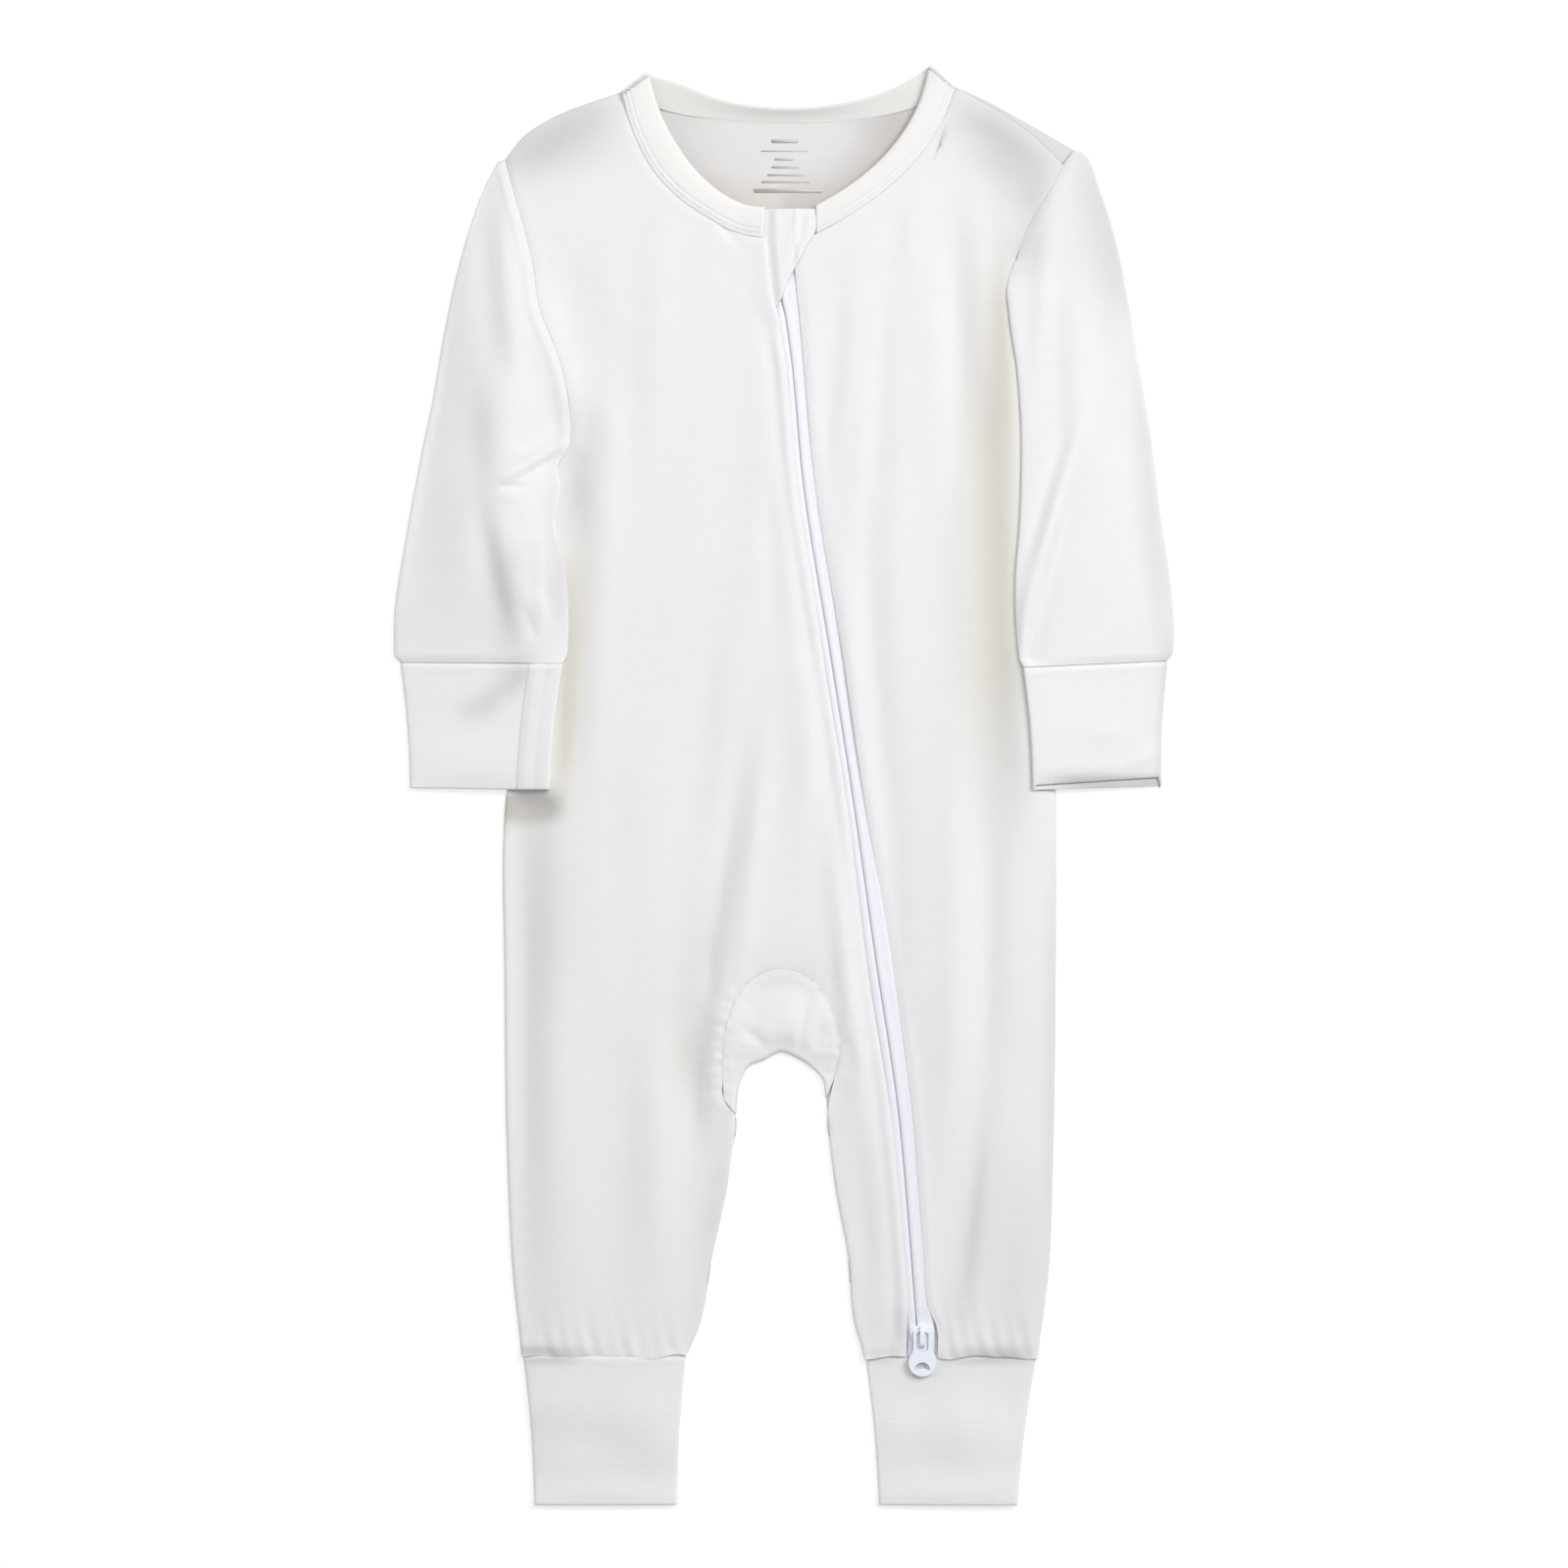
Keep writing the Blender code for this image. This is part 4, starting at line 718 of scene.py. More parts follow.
# Painted grey shade on parts that turn away or lie in shade, 2 being the most: the shoulders, along the
# sleeves, under the right cuff, the sides of the legs, beside the slider and at the leg cuffs' seams
PAINTED_SHADE_PARTS = (
    Crease(54, 294, 84, 270, 130, 236, 14, 1.7),
    Crease(70, 264, 92, 248, 106, 222, 10, 0.6),
    Crease(-128, 240, -91, 266, -54, 286, 11, 1.7),
    Crease(-104, 246, -78, 258, -56, 268, 9, 0.4),
    Crease(86, -120, 95, -180, 99, -290, 13, 0.5),
    Crease(110, 20, 110, -80, 107, -240, 4, 0.9),
    Crease(-102, 40, -101, -90, -100, -280, 8, 0.2),
    Crease(-26, -20, -37, -92, -34, -160, 7, 0.7),
    Crease(-124, -9.5, -104, -9.5, -86, -9.5, 5.5, 3.6),
    Crease(-20, -112, -27, -180, -36, -250, 6, 0.7),
    Crease(87, 270, 86, 110, 86, -40, 9, 0.9),
    Crease(90, 232, 88, 190, 91, 130, 4.5, 0.4),
    Crease(108, 262, 100, 226, 94, 186, 6, 0.8),
    Crease(-128, -231.6, -97, -231.6, -74, -231.8, 2.2, 2.2),
    Crease(58, -231.6, 84, -231.6, 112, -231.6, 1.9, 1.5),
    Crease(28, -230, 36, -231.6, 50, -231.6, 1.6, 1.0),
    Crease(46, -208, 49, -222, 53, -236, 3.4, 0.8),
    Crease(84, -140, 73, -206, 57, -246, 6, 0.5),
    Crease(-86, 158, -84, 128, -84, 94, 6, 1.0),
    Crease(-88, 104, -88.5, 40, -91, -24, 3.5, 1.0),
    Crease(92, 90, 94, 20, 96, -40, 7, 0.7),
    Crease(-98, 20, -96, -50, -98, -110, 10, 0.5),
)


def nearest(points, line):
    """How far plane points are from a line of points, on which side, and how far along it.

    The side is -1 on the line's left and 1 on its right.
    """
    flat = points.reshape(-1, 2)
    apart = np.full(len(flat), np.inf)
    sign = np.ones(len(flat))
    along = np.zeros(len(flat))
    start = 0.0
    for a, b in zip(line[:-1], line[1:]):
        run = b - a
        length = np.hypot(*run)
        off = flat - a
        t = np.clip(off @ run / length**2, 0, 1)
        gap = np.hypot(off[:, 0] - t * run[0], off[:, 1] - t * run[1])
        closer = gap < apart
        apart = np.where(closer, gap, apart)
        sign = np.where(closer, np.sign(off[:, 0] * run[1] - off[:, 1] * run[0]), sign)
        along = np.where(closer, start + t * length, along)
        start += length
    return [values.reshape(points.shape[:-1]) for values in (apart, sign, along)]


def rounded(share):
    """A quarter round: 0 at an edge and 1 from the share 1 on."""
    return np.sqrt(1 - (1 - np.clip(share, 0, 1)) ** 2)


def eased(share):
    """A soft step from 0 to 1."""
    share = np.clip(share, 0, 1)
    return share * share * (3 - 2 * share)


def fold_line(row, samples=14):
    """The smooth line through a fold's three points."""
    ends = np.array([[row.x0, row.y0], [row.x2, row.y2]], float)
    middle = np.array([row.x1, row.y1], float)
    control = 2 * middle - ends.mean(axis=0)
    t = np.linspace(0, 1, samples)[:, None]
    return ends[0] * (1 - t) ** 2 + 2 * control * t * (1 - t) + ends[1] * t**2


FOLD_ENDS = 0.42    # the share of a fold's length over which each of its ends fades out


def folded(points, leans, creases):
    """The rise and fall that leans and creases give each plane point."""
    flat = points.reshape(-1, 2)
    total = np.zeros(len(flat))
    for row in (*leans, *creases):
        line = fold_line(row)
        reach = 3.2 * row.half_width
        inside = np.all((flat > line.min(axis=0) - reach) & (flat < line.max(axis=0) + reach), axis=1)
        if not inside.any():
            continue
        apart, sign, along = nearest(flat[inside], line)
        share = along / np.hypot(*np.diff(line, axis=0).T).sum()
        ends = eased(share / FOLD_ENDS) * eased((1 - share) / FOLD_ENDS)
        shape = hump(apart, 0, row.half_width) * ends
        if isinstance(row, Lean):
            shape = shape * row.lean * apart * -sign
        else:
            shape = shape * row.height
        total[inside] += shape
    return total.reshape(points.shape[:-1])


# How deep and wide the seams dip, and how far the cloth swells beside them
Seam = namedtuple("Seam", "depth half_width swell")
ARMHOLE_SEAM = Seam(0.22, 0.9, 0.25)
NECK_SEAM = Seam(0.2, 0.7, 0.1)
ARCH_SEAM = Seam(0.06, 1.2, 0.1)


def seam_groove(apart, seam):
    """A seam pulls the cloth down along it and leaves it slightly full beside it."""
    return seam.swell * hump(apart, 3.2, 1.6) - seam.depth * hump(apart, 0, seam.half_width)


def turned_edges():
    """The edges where the front turns down to the back: sides, inner legs, crotch and shoulders."""
    ts = np.linspace(0, 1, 90)
    inner_right = [(row.right, row.y) for row in INNER_LEGS]
    inner_left = [(row.left, row.y) for row in INNER_LEGS]
    crotch = list(zip(column(GUSSET, "crotch_x"), column(GUSSET, "crotch_y")))
    return {
        "right side": climb(SIDES, "right", CUFF_SEAM_Y, CLOSE_RIGHT)(ts),
        "left side": climb(SIDES, "left", CUFF_SEAM_Y, CLOSE_LEFT)(ts),
        "right leg and crotch": path(inner_right[::-1] + crotch)(ts),
        "left leg": path(crotch[-2:] + inner_left)(ts),
        "right shoulder": table_path(SHOULDERS, "right_x", "right_y")(ts),
        "left shoulder": table_path(SHOULDERS, "left_x", "left_y")(ts),
    }


TURNED_EDGES = turned_edges()
# How each of them rises: the share of its rise taken at once, over what width, and where the rest starts
# and how far it runs
Turn = namedtuple("Turn", "edge share width start run")
TURNS = (
    Turn("right side", 0.42, 1.2, 1.5, 20),
    Turn("left side", 1.0, SIDE_ROLL, 0, 1),
    Turn("right leg and crotch", 0.68, 1.4, 0, 40),
    Turn("left leg", 0.42, 1.0, 2, 18),
    Turn("right shoulder", 1.0, ROLL, 0, 1),
    Turn("left shoulder", 1.0, ROLL, 0, 1),
)
ARMHOLES = [
    climb(SIDES, "right", CLOSE_RIGHT, ARMHOLE_TOP["right"])(np.linspace(0, 1, 60)),
    climb(SIDES, "left", CLOSE_LEFT, ARMHOLE_TOP["left"])(np.linspace(0, 1, 40)),
]
NECK_SEAMS = [path(neckline(band, 0.0))(np.linspace(0, 1, 60)) for band in (BAND_RIGHT, BAND_LEFT)]
ARCH = table_path(GUSSET, "arch_x", "arch_y")
ARCH_PITCH = 5.2      # from one gather to the next round the gusset
ARCH_REACH = 3.4      # how far they run from its seam
ANKLE_PITCH = 6.3
ANKLE_REACH = 9.0
ANKLE_GATHER = 0.5


def wave(along, pitch, start=0.0):
    """A ripple that repeats after each pitch."""
    return np.sin(along * 2 * np.pi / pitch + start)


def puckers(along, apart, pitch, height, reach):
    """Small gathers square to a seam, uneven in height, that die away from it."""
    uneven = wave(along, pitch) + 0.6 * wave(along, pitch * 1.63, 1.3)
    return height * uneven * np.exp(-apart / reach) * eased(apart / 0.8)


STITCHED_IN = 0.9     # how far in from the left front's edge its stitches run beside the zip


def zip_ridge(points):
    """What the turned edge of each front adds to its height beside the zip."""
    y = points[..., 1]
    right = edge_x(ZIP, "right_front", y) - points[..., 0]
    left = points[..., 0] - edge_x(ZIP, "left_front", y)
    on_right = 0.95 * hump(right, 2.1, 1.7) - 0.45 * hump(right, 6.2, 1.8)
    on_left = 0.35 * hump(left, 2.8, 1.6) - 0.25 * hump(left, STITCHED_IN, 0.5)
    edge = -0.6 * hump(right, 0, 0.6) - 0.25 * hump(left, 0, 0.4)
    below_guard = eased((196 - y) / 26)
    return np.where(right > -0.2, on_right * below_guard, 0) + np.where(left > -0.2, on_left, 0) + edge


def turned_up(gap, turn):
    """How far the front has risen at a distance from a turned edge, from 0 to 1."""
    return turn.share * rounded(gap / turn.width) + (1 - turn.share) * eased((gap - turn.start) / turn.run)


def front_height(points):
    """The middle of the front's wall over each plane point."""
    gaps = [nearest(points, TURNED_EDGES[turn.edge])[0] for turn in TURNS]
    apart = np.min(gaps, axis=0)
    risen = np.min([turned_up(gap, turn) for gap, turn in zip(gaps, TURNS)], axis=0)
    height = EDGE_Z + (LOFT - EDGE_Z) * risen
    y = points[..., 1]
    zip_x = (edge_x(ZIP, "right_front", y) + edge_x(ZIP, "left_front", y)) / 2
    beyond = points[..., 0] > zip_x
    run = np.where(beyond, ZIP_RUN_LEFT, ZIP_RUN_RIGHT)
    from_zip = eased((np.abs(points[..., 0] - zip_x) - ZIP_FLAT) / run)
    on_chest = 0.35 * eased((y - 150) / 60)
    from_zip = np.maximum(from_zip, on_chest)
    beside_zip = np.minimum(np.where(beyond, ZIP_LEFT_Z, ZIP_RIGHT_Z), height)
    height = beside_zip + (height - beside_zip) * from_zip
    height = height + folded(points, LEANS, CREASES) * eased(apart / STIFF_EDGE)
    height = height + zip_ridge(points)
    for line in ARMHOLES:
        height = height + seam_groove(nearest(points, line)[0], ARMHOLE_SEAM)
    for line in NECK_SEAMS:
        height = height + seam_groove(nearest(points, line)[0], NECK_SEAM)
    return height


DRAWN_IN = 6.0    # over what length a leg comes down to its cuff


def front_lay(points):
    """front_height with the gathers at the leg cuffs and round the gusset, for the panels that show."""
    height = front_height(points)
    apart, _, along = nearest(points, ARCH(np.linspace(0, 1, 80)))
    left_of_arch = eased((-4 - points[..., 0]) / 14)
    height = height + seam_groove(apart, ARCH_SEAM._replace(swell=0.1 + 0.2 * left_of_arch))
    height = height + puckers(along, apart, ARCH_PITCH, 0.1 + 0.25 * left_of_arch, ARCH_REACH)
    up = points[..., 1] - CUFF_SEAM_Y
    gathers = puckers(points[..., 0] + 0.22 * up, up, ANKLE_PITCH, ANKLE_GATHER, ANKLE_REACH)
    height = height + gathers * eased((height - 2.6) / 1.2)
    drawn_in = LEG_CUFF_TOP_Z + (height - LEG_CUFF_TOP_Z) * rounded(up / DRAWN_IN)
    return np.where(up < DRAWN_IN, drawn_in, height)


def hemmed(points):
    """The foot of a front is drawn down over the leg cuff's seam, unevenly."""
    x, y = points[..., 0], points[..., 1]
    uneven = wave(x, 31, 0.6) + 0.6 * wave(x, 17.3, 2.1)
    down = (0.9 + 0.65 * uneven) * eased(1 - (y - CUFF_SEAM_Y) / 4)
    return np.stack([x, y - down], -1)


def guard_lift(points):
    """The right front is lifted where the guard tucks under its edge."""
    edge = edge_x(ZIP, "right_front", points[..., 1])
    near = eased(1 - np.abs(edge - points[..., 0]) / 12)
    return GUARD_LIFT * near * eased((points[..., 1] - 184) / 12)


FRONT_SPLIT_Y = -84.0    # the row between the legs and the body
# The cells across the right leg, the inner part of the left leg and the left front, finer at their edges
LEG_CELLS = (
    0.003, 0.005, 0.008, 0.014, 0.05, 0.12, 0.15, 0.16,
    0.16, 0.14, 0.11, 0.04, 0.02, 0.012, 0.006, 0.002,
)
INNER_CELLS = (0.005, 0.015, 0.03, 0.07, 0.2, 0.2, 0.12, 0.08, 0.07, 0.06, 0.06, 0.04, 0.03, 0.02)
STRIP_CELLS = (
    0.002, 0.004, 0.006, 0.02, 0.03, 0.04, 0.05, 0.058, 0.12,
    0.12, 0.12, 0.12, 0.14, 0.07, 0.025, 0.01, 0.005,
)
# After how many of those cells the neck's corner at the shoulder comes
LEG_CORNER = 8
STRIP_CORNER = 11
ARCH_CELLS = 12          # along the arched seam of the gusset
ROW_STEP = 1.8           # from row to row up the body


def front_right_points():
    """Body, right leg and the inner part of the left leg: three patches that share their edges."""
    arch = ARCH(np.linspace(0, 1, ARCH_CELLS + 1))
    first, last = ARCH_CELLS // 3, ARCH_CELLS - ARCH_CELLS // 3
    crown = arch[first:last + 1]
    side = climb(SIDES, "right", FRONT_SPLIT_Y, ARMHOLE_TOP["right"])
    zip_edge = climb(ZIP, "right_front", FRONT_SPLIT_Y, ZIP[0].y)
    side_foot = side(0.0)
    zip_foot = zip_edge(0.0)
    over_leg = path([side_foot, crown[0]])
    over_inner = path([crown[-1], zip_foot])
    widths = (crown[0][0] - side_foot[0], crown[-1][0] - crown[0][0], zip_foot[0] - crown[-1][0])
    leg_us = finer(spaced(*LEG_CELLS), widths[0], 2.0)
    crown_us = finer(lengths(crown), widths[1], 1.6)
    inner_us = finer(spaced(*INNER_CELLS), widths[2], 2.0)
    us = np.concatenate([
        leg_us[:-1] * widths[0],
        widths[0] + crown_us[:-1] * widths[1],
        widths[0] + widths[1] + inner_us * widths[2],
    ]) / sum(widths)
    corner = spaced(*LEG_CELLS)[LEG_CORNER] * widths[0] / sum(widths)
    neck_line = neckline(BAND_RIGHT, 0.0)
    shoulder = path([(row.right_x, row.right_y) for row in SHOULDERS[:0:-1]] + neck_line[:1])
    neck = path(neck_line + [(ZIP[0].right_front, ZIP[0].y)])
    body_ys = [FRONT_SPLIT_Y, FRONT_SPLIT_Y + 0.15, FRONT_SPLIT_Y + 0.6, CLOSE_RIGHT]
    body_ys += [249, 253.5, 254.7, ARMHOLE_TOP["right"]]
    body = patch(
        side, zip_edge, joined([over_leg, path(crown), over_inner], widths),
        joined([shoulder, neck], [corner, 1 - corner]),
        us, finer(shares_of(body_ys), body_ys[-1] - FRONT_SPLIT_Y, ROW_STEP),
    )
    inside = np.concatenate([leg_edge("right", 8), arch[:first + 1]])
    rows = np.concatenate([[0, 0.001, 0.003, 0.006], finer(lengths(inside), 150, 1.3)[1:]])
    leg_side = climb(SIDES, "right", CUFF_SEAM_Y, FRONT_SPLIT_Y)
    right_leg = patch(leg_side, path(inside), path([leg_side(0.0), inside[0]]), over_leg, leg_us, rows)
    inside = np.concatenate([leg_edge("left", 8), arch[last:][::-1]])
    leg_zip = climb(ZIP, "right_front", CUFF_SEAM_Y, FRONT_SPLIT_Y)
    left_leg = patch(path(inside), leg_zip, path([inside[0], leg_zip(0.0)]), over_inner, inner_us, rows)
    blank = np.repeat(right_leg[:, -1:], len(crown_us) - 2, axis=1)
    legs = np.concatenate([right_leg, blank, left_leg], axis=1)
    plane = np.concatenate([legs[:-1], body], axis=0)
    keep = np.ones((len(plane) - 1, len(us) - 1), bool)
    keep[:len(legs) - 1, len(leg_us) - 1:len(leg_us) + len(crown_us) - 2] = False
    return plane, keep


plane, keep = front_right_points()
lay = raised(hemmed(plane), front_lay(plane) + guard_lift(plane))
# Painted shade in the front's colour: creamy in its hollows, grey where it turns away or lies in shadow
deep = folded(plane, (), PAINTED_HOLLOW_SHADE)
painted_shade = folded(plane, (), PAINTED_SHADE_PARTS) / 2
front_right = cloth("front_right_panel", lay, KNIT, jersey, keep, deep=deep, painted_shade=painted_shade)
sewn(front_right, "front_right")


def front_left_points():
    """The strip beyond the zip, from the shoulder down the outer left leg."""
    neck_line = neckline(BAND_LEFT, 0.0)
    shoulder = path(neck_line[:1] + [(row.left_x, row.left_y) for row in SHOULDERS[1:]])
    neck = path([(ZIP[0].left_front, ZIP[0].y)] + neck_line[::-1])
    cells = spaced(*STRIP_CELLS)
    corner = cells[STRIP_CORNER]
    ys = [CUFF_SEAM_Y, CUFF_SEAM_Y + 0.15, CUFF_SEAM_Y + 0.5, -232, -227, -214, CLOSE_LEFT]
    ys += [247, 251, 252.3, ARMHOLE_TOP["left"]]
    return patch(
        climb(ZIP, "left_front", CUFF_SEAM_Y, ZIP[0].y), climb(SIDES, "left", CUFF_SEAM_Y, ys[-1]),
        path([(ZIP[-1].left_front, CUFF_SEAM_Y), (SIDES[-1].left, CUFF_SEAM_Y)]),
        joined([neck, shoulder], [corner, 1 - corner]),
        finer(cells, 90, 1.9), finer(shares_of(ys), ys[-1] - ys[0], ROW_STEP),
    )


plane = front_left_points()
lay = raised(hemmed(plane), front_lay(plane))
# Painted shade in the front's colour: creamy in its hollows, grey where it turns away or lies in shadow
deep = folded(plane, (), PAINTED_HOLLOW_SHADE)
painted_shade = folded(plane, (), PAINTED_SHADE_PARTS) / 2
front_left = cloth("front_left_panel", lay, KNIT, jersey, deep=deep, painted_shade=painted_shade)
sewn(front_left, "front_left")


# ---- Crotch gusset
# An arched piece of the jersey, let in over the crotch and sewn to the right front all along its arch. The
# seam is puckered, and the piece dips between soft swellings.
GUSSET_CREASES = (
    Crease(-14, -84, -12, -98, -16, -112, 4.5, -0.9),
    Crease(2, -80, 3, -92, 0, -104, 6.0, 0.9),
    Crease(-20, -97, -12, -103.5, -4, -109, 2.4, -0.8),
    Crease(11, -88, 8, -98, 6, -112, 1.6, -0.9),
    Crease(17, -97, 14, -104, 12, -110, 1.8, -0.6),
    Crease(15, -86, 12, -92, 10, -98, 2.0, 0.5),
)


def gusset_points():
    """Plane points between the crotch's edge and the arch, finer at all four edges."""
    crotch = table_path(GUSSET, "crotch_x", "crotch_y")
    us = finer(np.array([0, 0.01, 0.03, 0.97, 0.99, 1]), 110, 1.1)
    vs = finer(np.array([0, 0.01, 0.03, 0.08, 0.9, 0.97, 1.0]), 34, 1.1)
    return patch(path([crotch(0.0), ARCH(0.0)]), path([crotch(1.0), ARCH(1.0)]), crotch, ARCH, us, vs)


plane = gusset_points()
apart, _, along = nearest(plane, ARCH(np.linspace(0, 1, 80)))
heights = front_height(plane) + seam_groove(apart, ARCH_SEAM._replace(swell=0.2))
heights = heights - puckers(along, apart, ARCH_PITCH, 0.16, ARCH_REACH)
heights = heights + folded(plane, (), GUSSET_CREASES) * eased(apart / 3)
gusset = cloth("gusset_piece", raised(plane, heights), KNIT, jersey)
sewn(gusset, "crotch_gusset")


# ---- Sleeves and cuffs
# Each sleeve is one piece of jersey sewn into a tube, flattened, with its inner part lying on the body.
# A rib cuff, a short tube of doubled cloth, is sewn to its end. The right cuff's inner strip is turned.
RIB = 1.0             # the doubled rib's wall
LAID = 0.15           # between a sleeve and the front that it lies on
BEND = 0.05           # keeps a wall that bends clear of the table
FOLD_SHARE = 0.7      # radius of a tube's folded edge, as a share of its wall
SLEEVE_LOFT = 2.2     # how far a sleeve's upper layer rises over the height of its edges
SAG = 1.7             # how soon it drops from the edge on the body, 1 being a straight slope
SLEEVE_SEAM = Seam(0.18, 0.9, 0.45)

rib = knitted("rib_knit", (0.825, 0.81, 0.77), (0.79, 0.775, 0.735), 1.0)
band_knit = knitted("band_knit", (0.84, 0.825, 0.765), (0.81, 0.79, 0.73), 0.6)

# The sleeves' edges, row by row: the inner one on the body and the outer one
Sleeve = namedtuple("Sleeve", "y inner_x outer_x outer_y")
SLEEVE_RIGHT = (
    Sleeve(255.4, -113.6, -116.6, 254.2),
    Sleeve(246, -111.8, -121.6, 244.6),
    Sleeve(231, -107.2, -128.4, 226.0),
    Sleeve(197, -100.4, -137.8, 188.0),
    Sleeve(169, -90.4, -143.4, 156.0),
    Sleeve(149, -87.2, -146.8, 140.0),
    Sleeve(139.6, -87.4, -148.4, 132.0),
    Sleeve(130, -92.8, -149.8, 124.6),
    Sleeve(121, -91.4, -151.2, 117.6),
    Sleeve(106.6, -93.8, -153.6, 104.0),
    Sleeve(89.8, -90.2, -156.4, 88.0),
    Sleeve(74.2, -88.4, -158.6, 73.0),
    Sleeve(49.8, -88.8, -159.2, 50.2),
)
SLEEVE_LEFT = (
    Sleeve(259, 118.8, 121.6, 258.0),
    Sleeve(253, 114.2, 124.6, 255.0),
    Sleeve(245, 110.2, 127.6, 246.4),
    Sleeve(227, 99.8, 134.8, 224.0),
    Sleeve(214.2, 95.0, 137.6, 211.6),
    Sleeve(205, 91.6, 139.4, 202.4),
    Sleeve(191.4, 92.2, 141.6, 190.0),
    Sleeve(169, 95.4, 145.4, 168.0),
    Sleeve(146.6, 97.0, 149.0, 145.6),
    Sleeve(110.2, 96.6, 153.6, 110.0),
    Sleeve(79.8, 94.6, 158.0, 79.8),
    Sleeve(62, 95.2, 159.2, 62.0),
    Sleeve(48.2, 96.4, 158.4, 51.2),
)
Cuff = namedtuple("Cuff", "name top_in top_out end_in end_out loft open_end")
CUFF_RIGHT = Cuff("cuff_right", (-90.6, 49.2), (-156.4, 49.8), (-95.8, -2.2), (-152.4, -1.4), 1.0, 0.0)
CUFF_LEFT = Cuff("cuff_left", (97.8, 47.6), (156.4, 50.4), (101.8, -2.4), (153.6, -0.8), 1.2, 2.8)

SLEEVE_LEANS = (
    Lean(-130, 250, -134, 150, -139, 40, 22, 0.16),
    Lean(-121, 262, -115, 190, -113, 140, 8, 0.30),
    Lean(-124, 190, -121, 120, -117, 60, 8, 0.20),
    Lean(-110, 178, -107, 148, -104, 112, 11, -0.46),
    Lean(-106, 178, -99, 150, -97, 126, 8, -0.24),
    Lean(-112, 240, -110, 205, -104, 160, 6, -0.22),
    Lean(-104, 128, -101, 110, -99, 84, 8, -0.30),
    Lean(-121, 122, -116, 88, -108, 50, 6, 0.46),
    Lean(-107, 112, -105, 88, -103, 62, 5, -0.26),
    Lean(-82, 142, -100, 131, -120, 119, 2.0, -1.1),
    Lean(-93.5, 112, -98.5, 92, -95.5, 56, 1.8, -0.55),
    Lean(108, 244, 104, 216, 101, 160, 5, 0.24),
    Lean(116, 220, 115, 170, 116, 120, 6, 0.20),
    Lean(126, 220, 126, 160, 127, 110, 8, -0.14),
    Lean(130, 160, 105, 82, 86, 0, 5, -0.85),
    Lean(124, 164, 108, 112, 98, 70, 4, 0.42),
    Lean(146, 190, 150, 120, 153, 56, 9, 0.20),
)
SLEEVE_CREASES = (
    Crease(-90, 144, -103, 136, -114, 129, 3.4, 1.1),
    Crease(-103, 121.8, -110, 121.2, -119, 121.4, 1.5, -1.0),
    Crease(-104, 178, -100, 150, -98, 124, 12, 1.2),
    Crease(-106, 117, -111, 117, -116, 118, 2.0, 0.5),
    Crease(-106, 99, -102, 99.6, -98, 99.4, 1.3, 0.4),
    Crease(-107, 76, -104, 66, -100.5, 56, 2.0, -1.3),
    Crease(-101, 82, -99, 72, -97, 62, 2.4, 0.5),
    Crease(103, 250, 100, 232, 95, 214, 1.4, 0.35),
)

# Painted grey shade on the sleeves and their cuffs, where they turn away or lie in shadow: the left one's
# head and outer edge, the right one's outer side and middle, and where the cuffs turn away
SLEEVE_PAINTED_SHADE = (
    Crease(108, 280, 130, 246, 144, 170, 15, 1.4),
    Crease(142, 230, 152, 120, 160, 10, 7, 0.8),
    Crease(157, 70, 156, 25, 152, -20, 3, 1.5),
    Crease(-118, 280, -132, 150, -142, 20, 17, 0.35),
    Crease(-115, 110, -114, 76, -108, 36, 9, 1.2),
    Crease(-142, 130, -140, 84, -130, 30, 16, 0.2),
    Crease(-90, 112, -91, 84, -90, 54, 4, 0.8),
    Crease(94, 1.0, 128, 0.6, 182, -0.6, 3.2, 3.0),
    Crease(-140, 30, -120, 34, -98, 58, 5.5, 1.2),
    Crease(108, 266, 102, 230, 95, 190, 6, 1.0),
)


def outside(points, side):
    """How far outside the body's side edge each plane point lies, negative inside."""
    edge = edge_x(SIDES, side, points[..., 1])
    return (points[..., 0] - edge) * (1 if side == "left" else -1)


def over_body(points, side, wall):
    """The middle of a wall that lies on the front, also a little outside the front's edge."""
    inward = points.copy()
    edge = edge_x(SIDES, side, points[..., 1])
    inset = edge + (-3.0 if side == "left" else 3.0)
    near_edge = outside(points, side) > -3.0
    inward[..., 0] = np.where(near_edge, inset, points[..., 0])
    return front_height(inward) + KNIT / 2 + LAID + wall / 2


def under_layer(inner, unit, width, side, wall, closed):
    """A tube's lower layer: over the body's edge, down, and on the table. Rows have the same columns."""
    fold = np.minimum(FOLD_SHARE * wall, 0.3 * width)
    first = np.where(closed, fold, 0.0)
    inside = np.maximum(-outside(inner, side), 0)
    brink = np.maximum(inside + 0.8, first + 0.7)
    beyond = np.linspace(0, 1, 9)[None, 1:]
    flat = (brink + 5)[:, None] + (width - fold - brink - 5)[:, None] * beyond
    bent = np.stack([first, (first + brink) / 2, brink, brink + 1.2, brink + 2.5, brink + 3.8, brink + 5], 1)
    bent = np.concatenate([bent, flat], axis=1)
    even = first[:, None] + (width - fold - first)[:, None] * np.linspace(0, 1, bent.shape[1])[None, :]
    apart = even + (bent - even) * eased((width - 12) / 20)[:, None]
    plane = inner[:, None] + unit[:, None] * apart[..., None]
    up = eased((brink[:, None] + 5 - apart) / 5) * closed[:, None]
    resting = wall / 2 + BEND
    return plane, resting + (over_body(plane, side, wall) - resting) * up


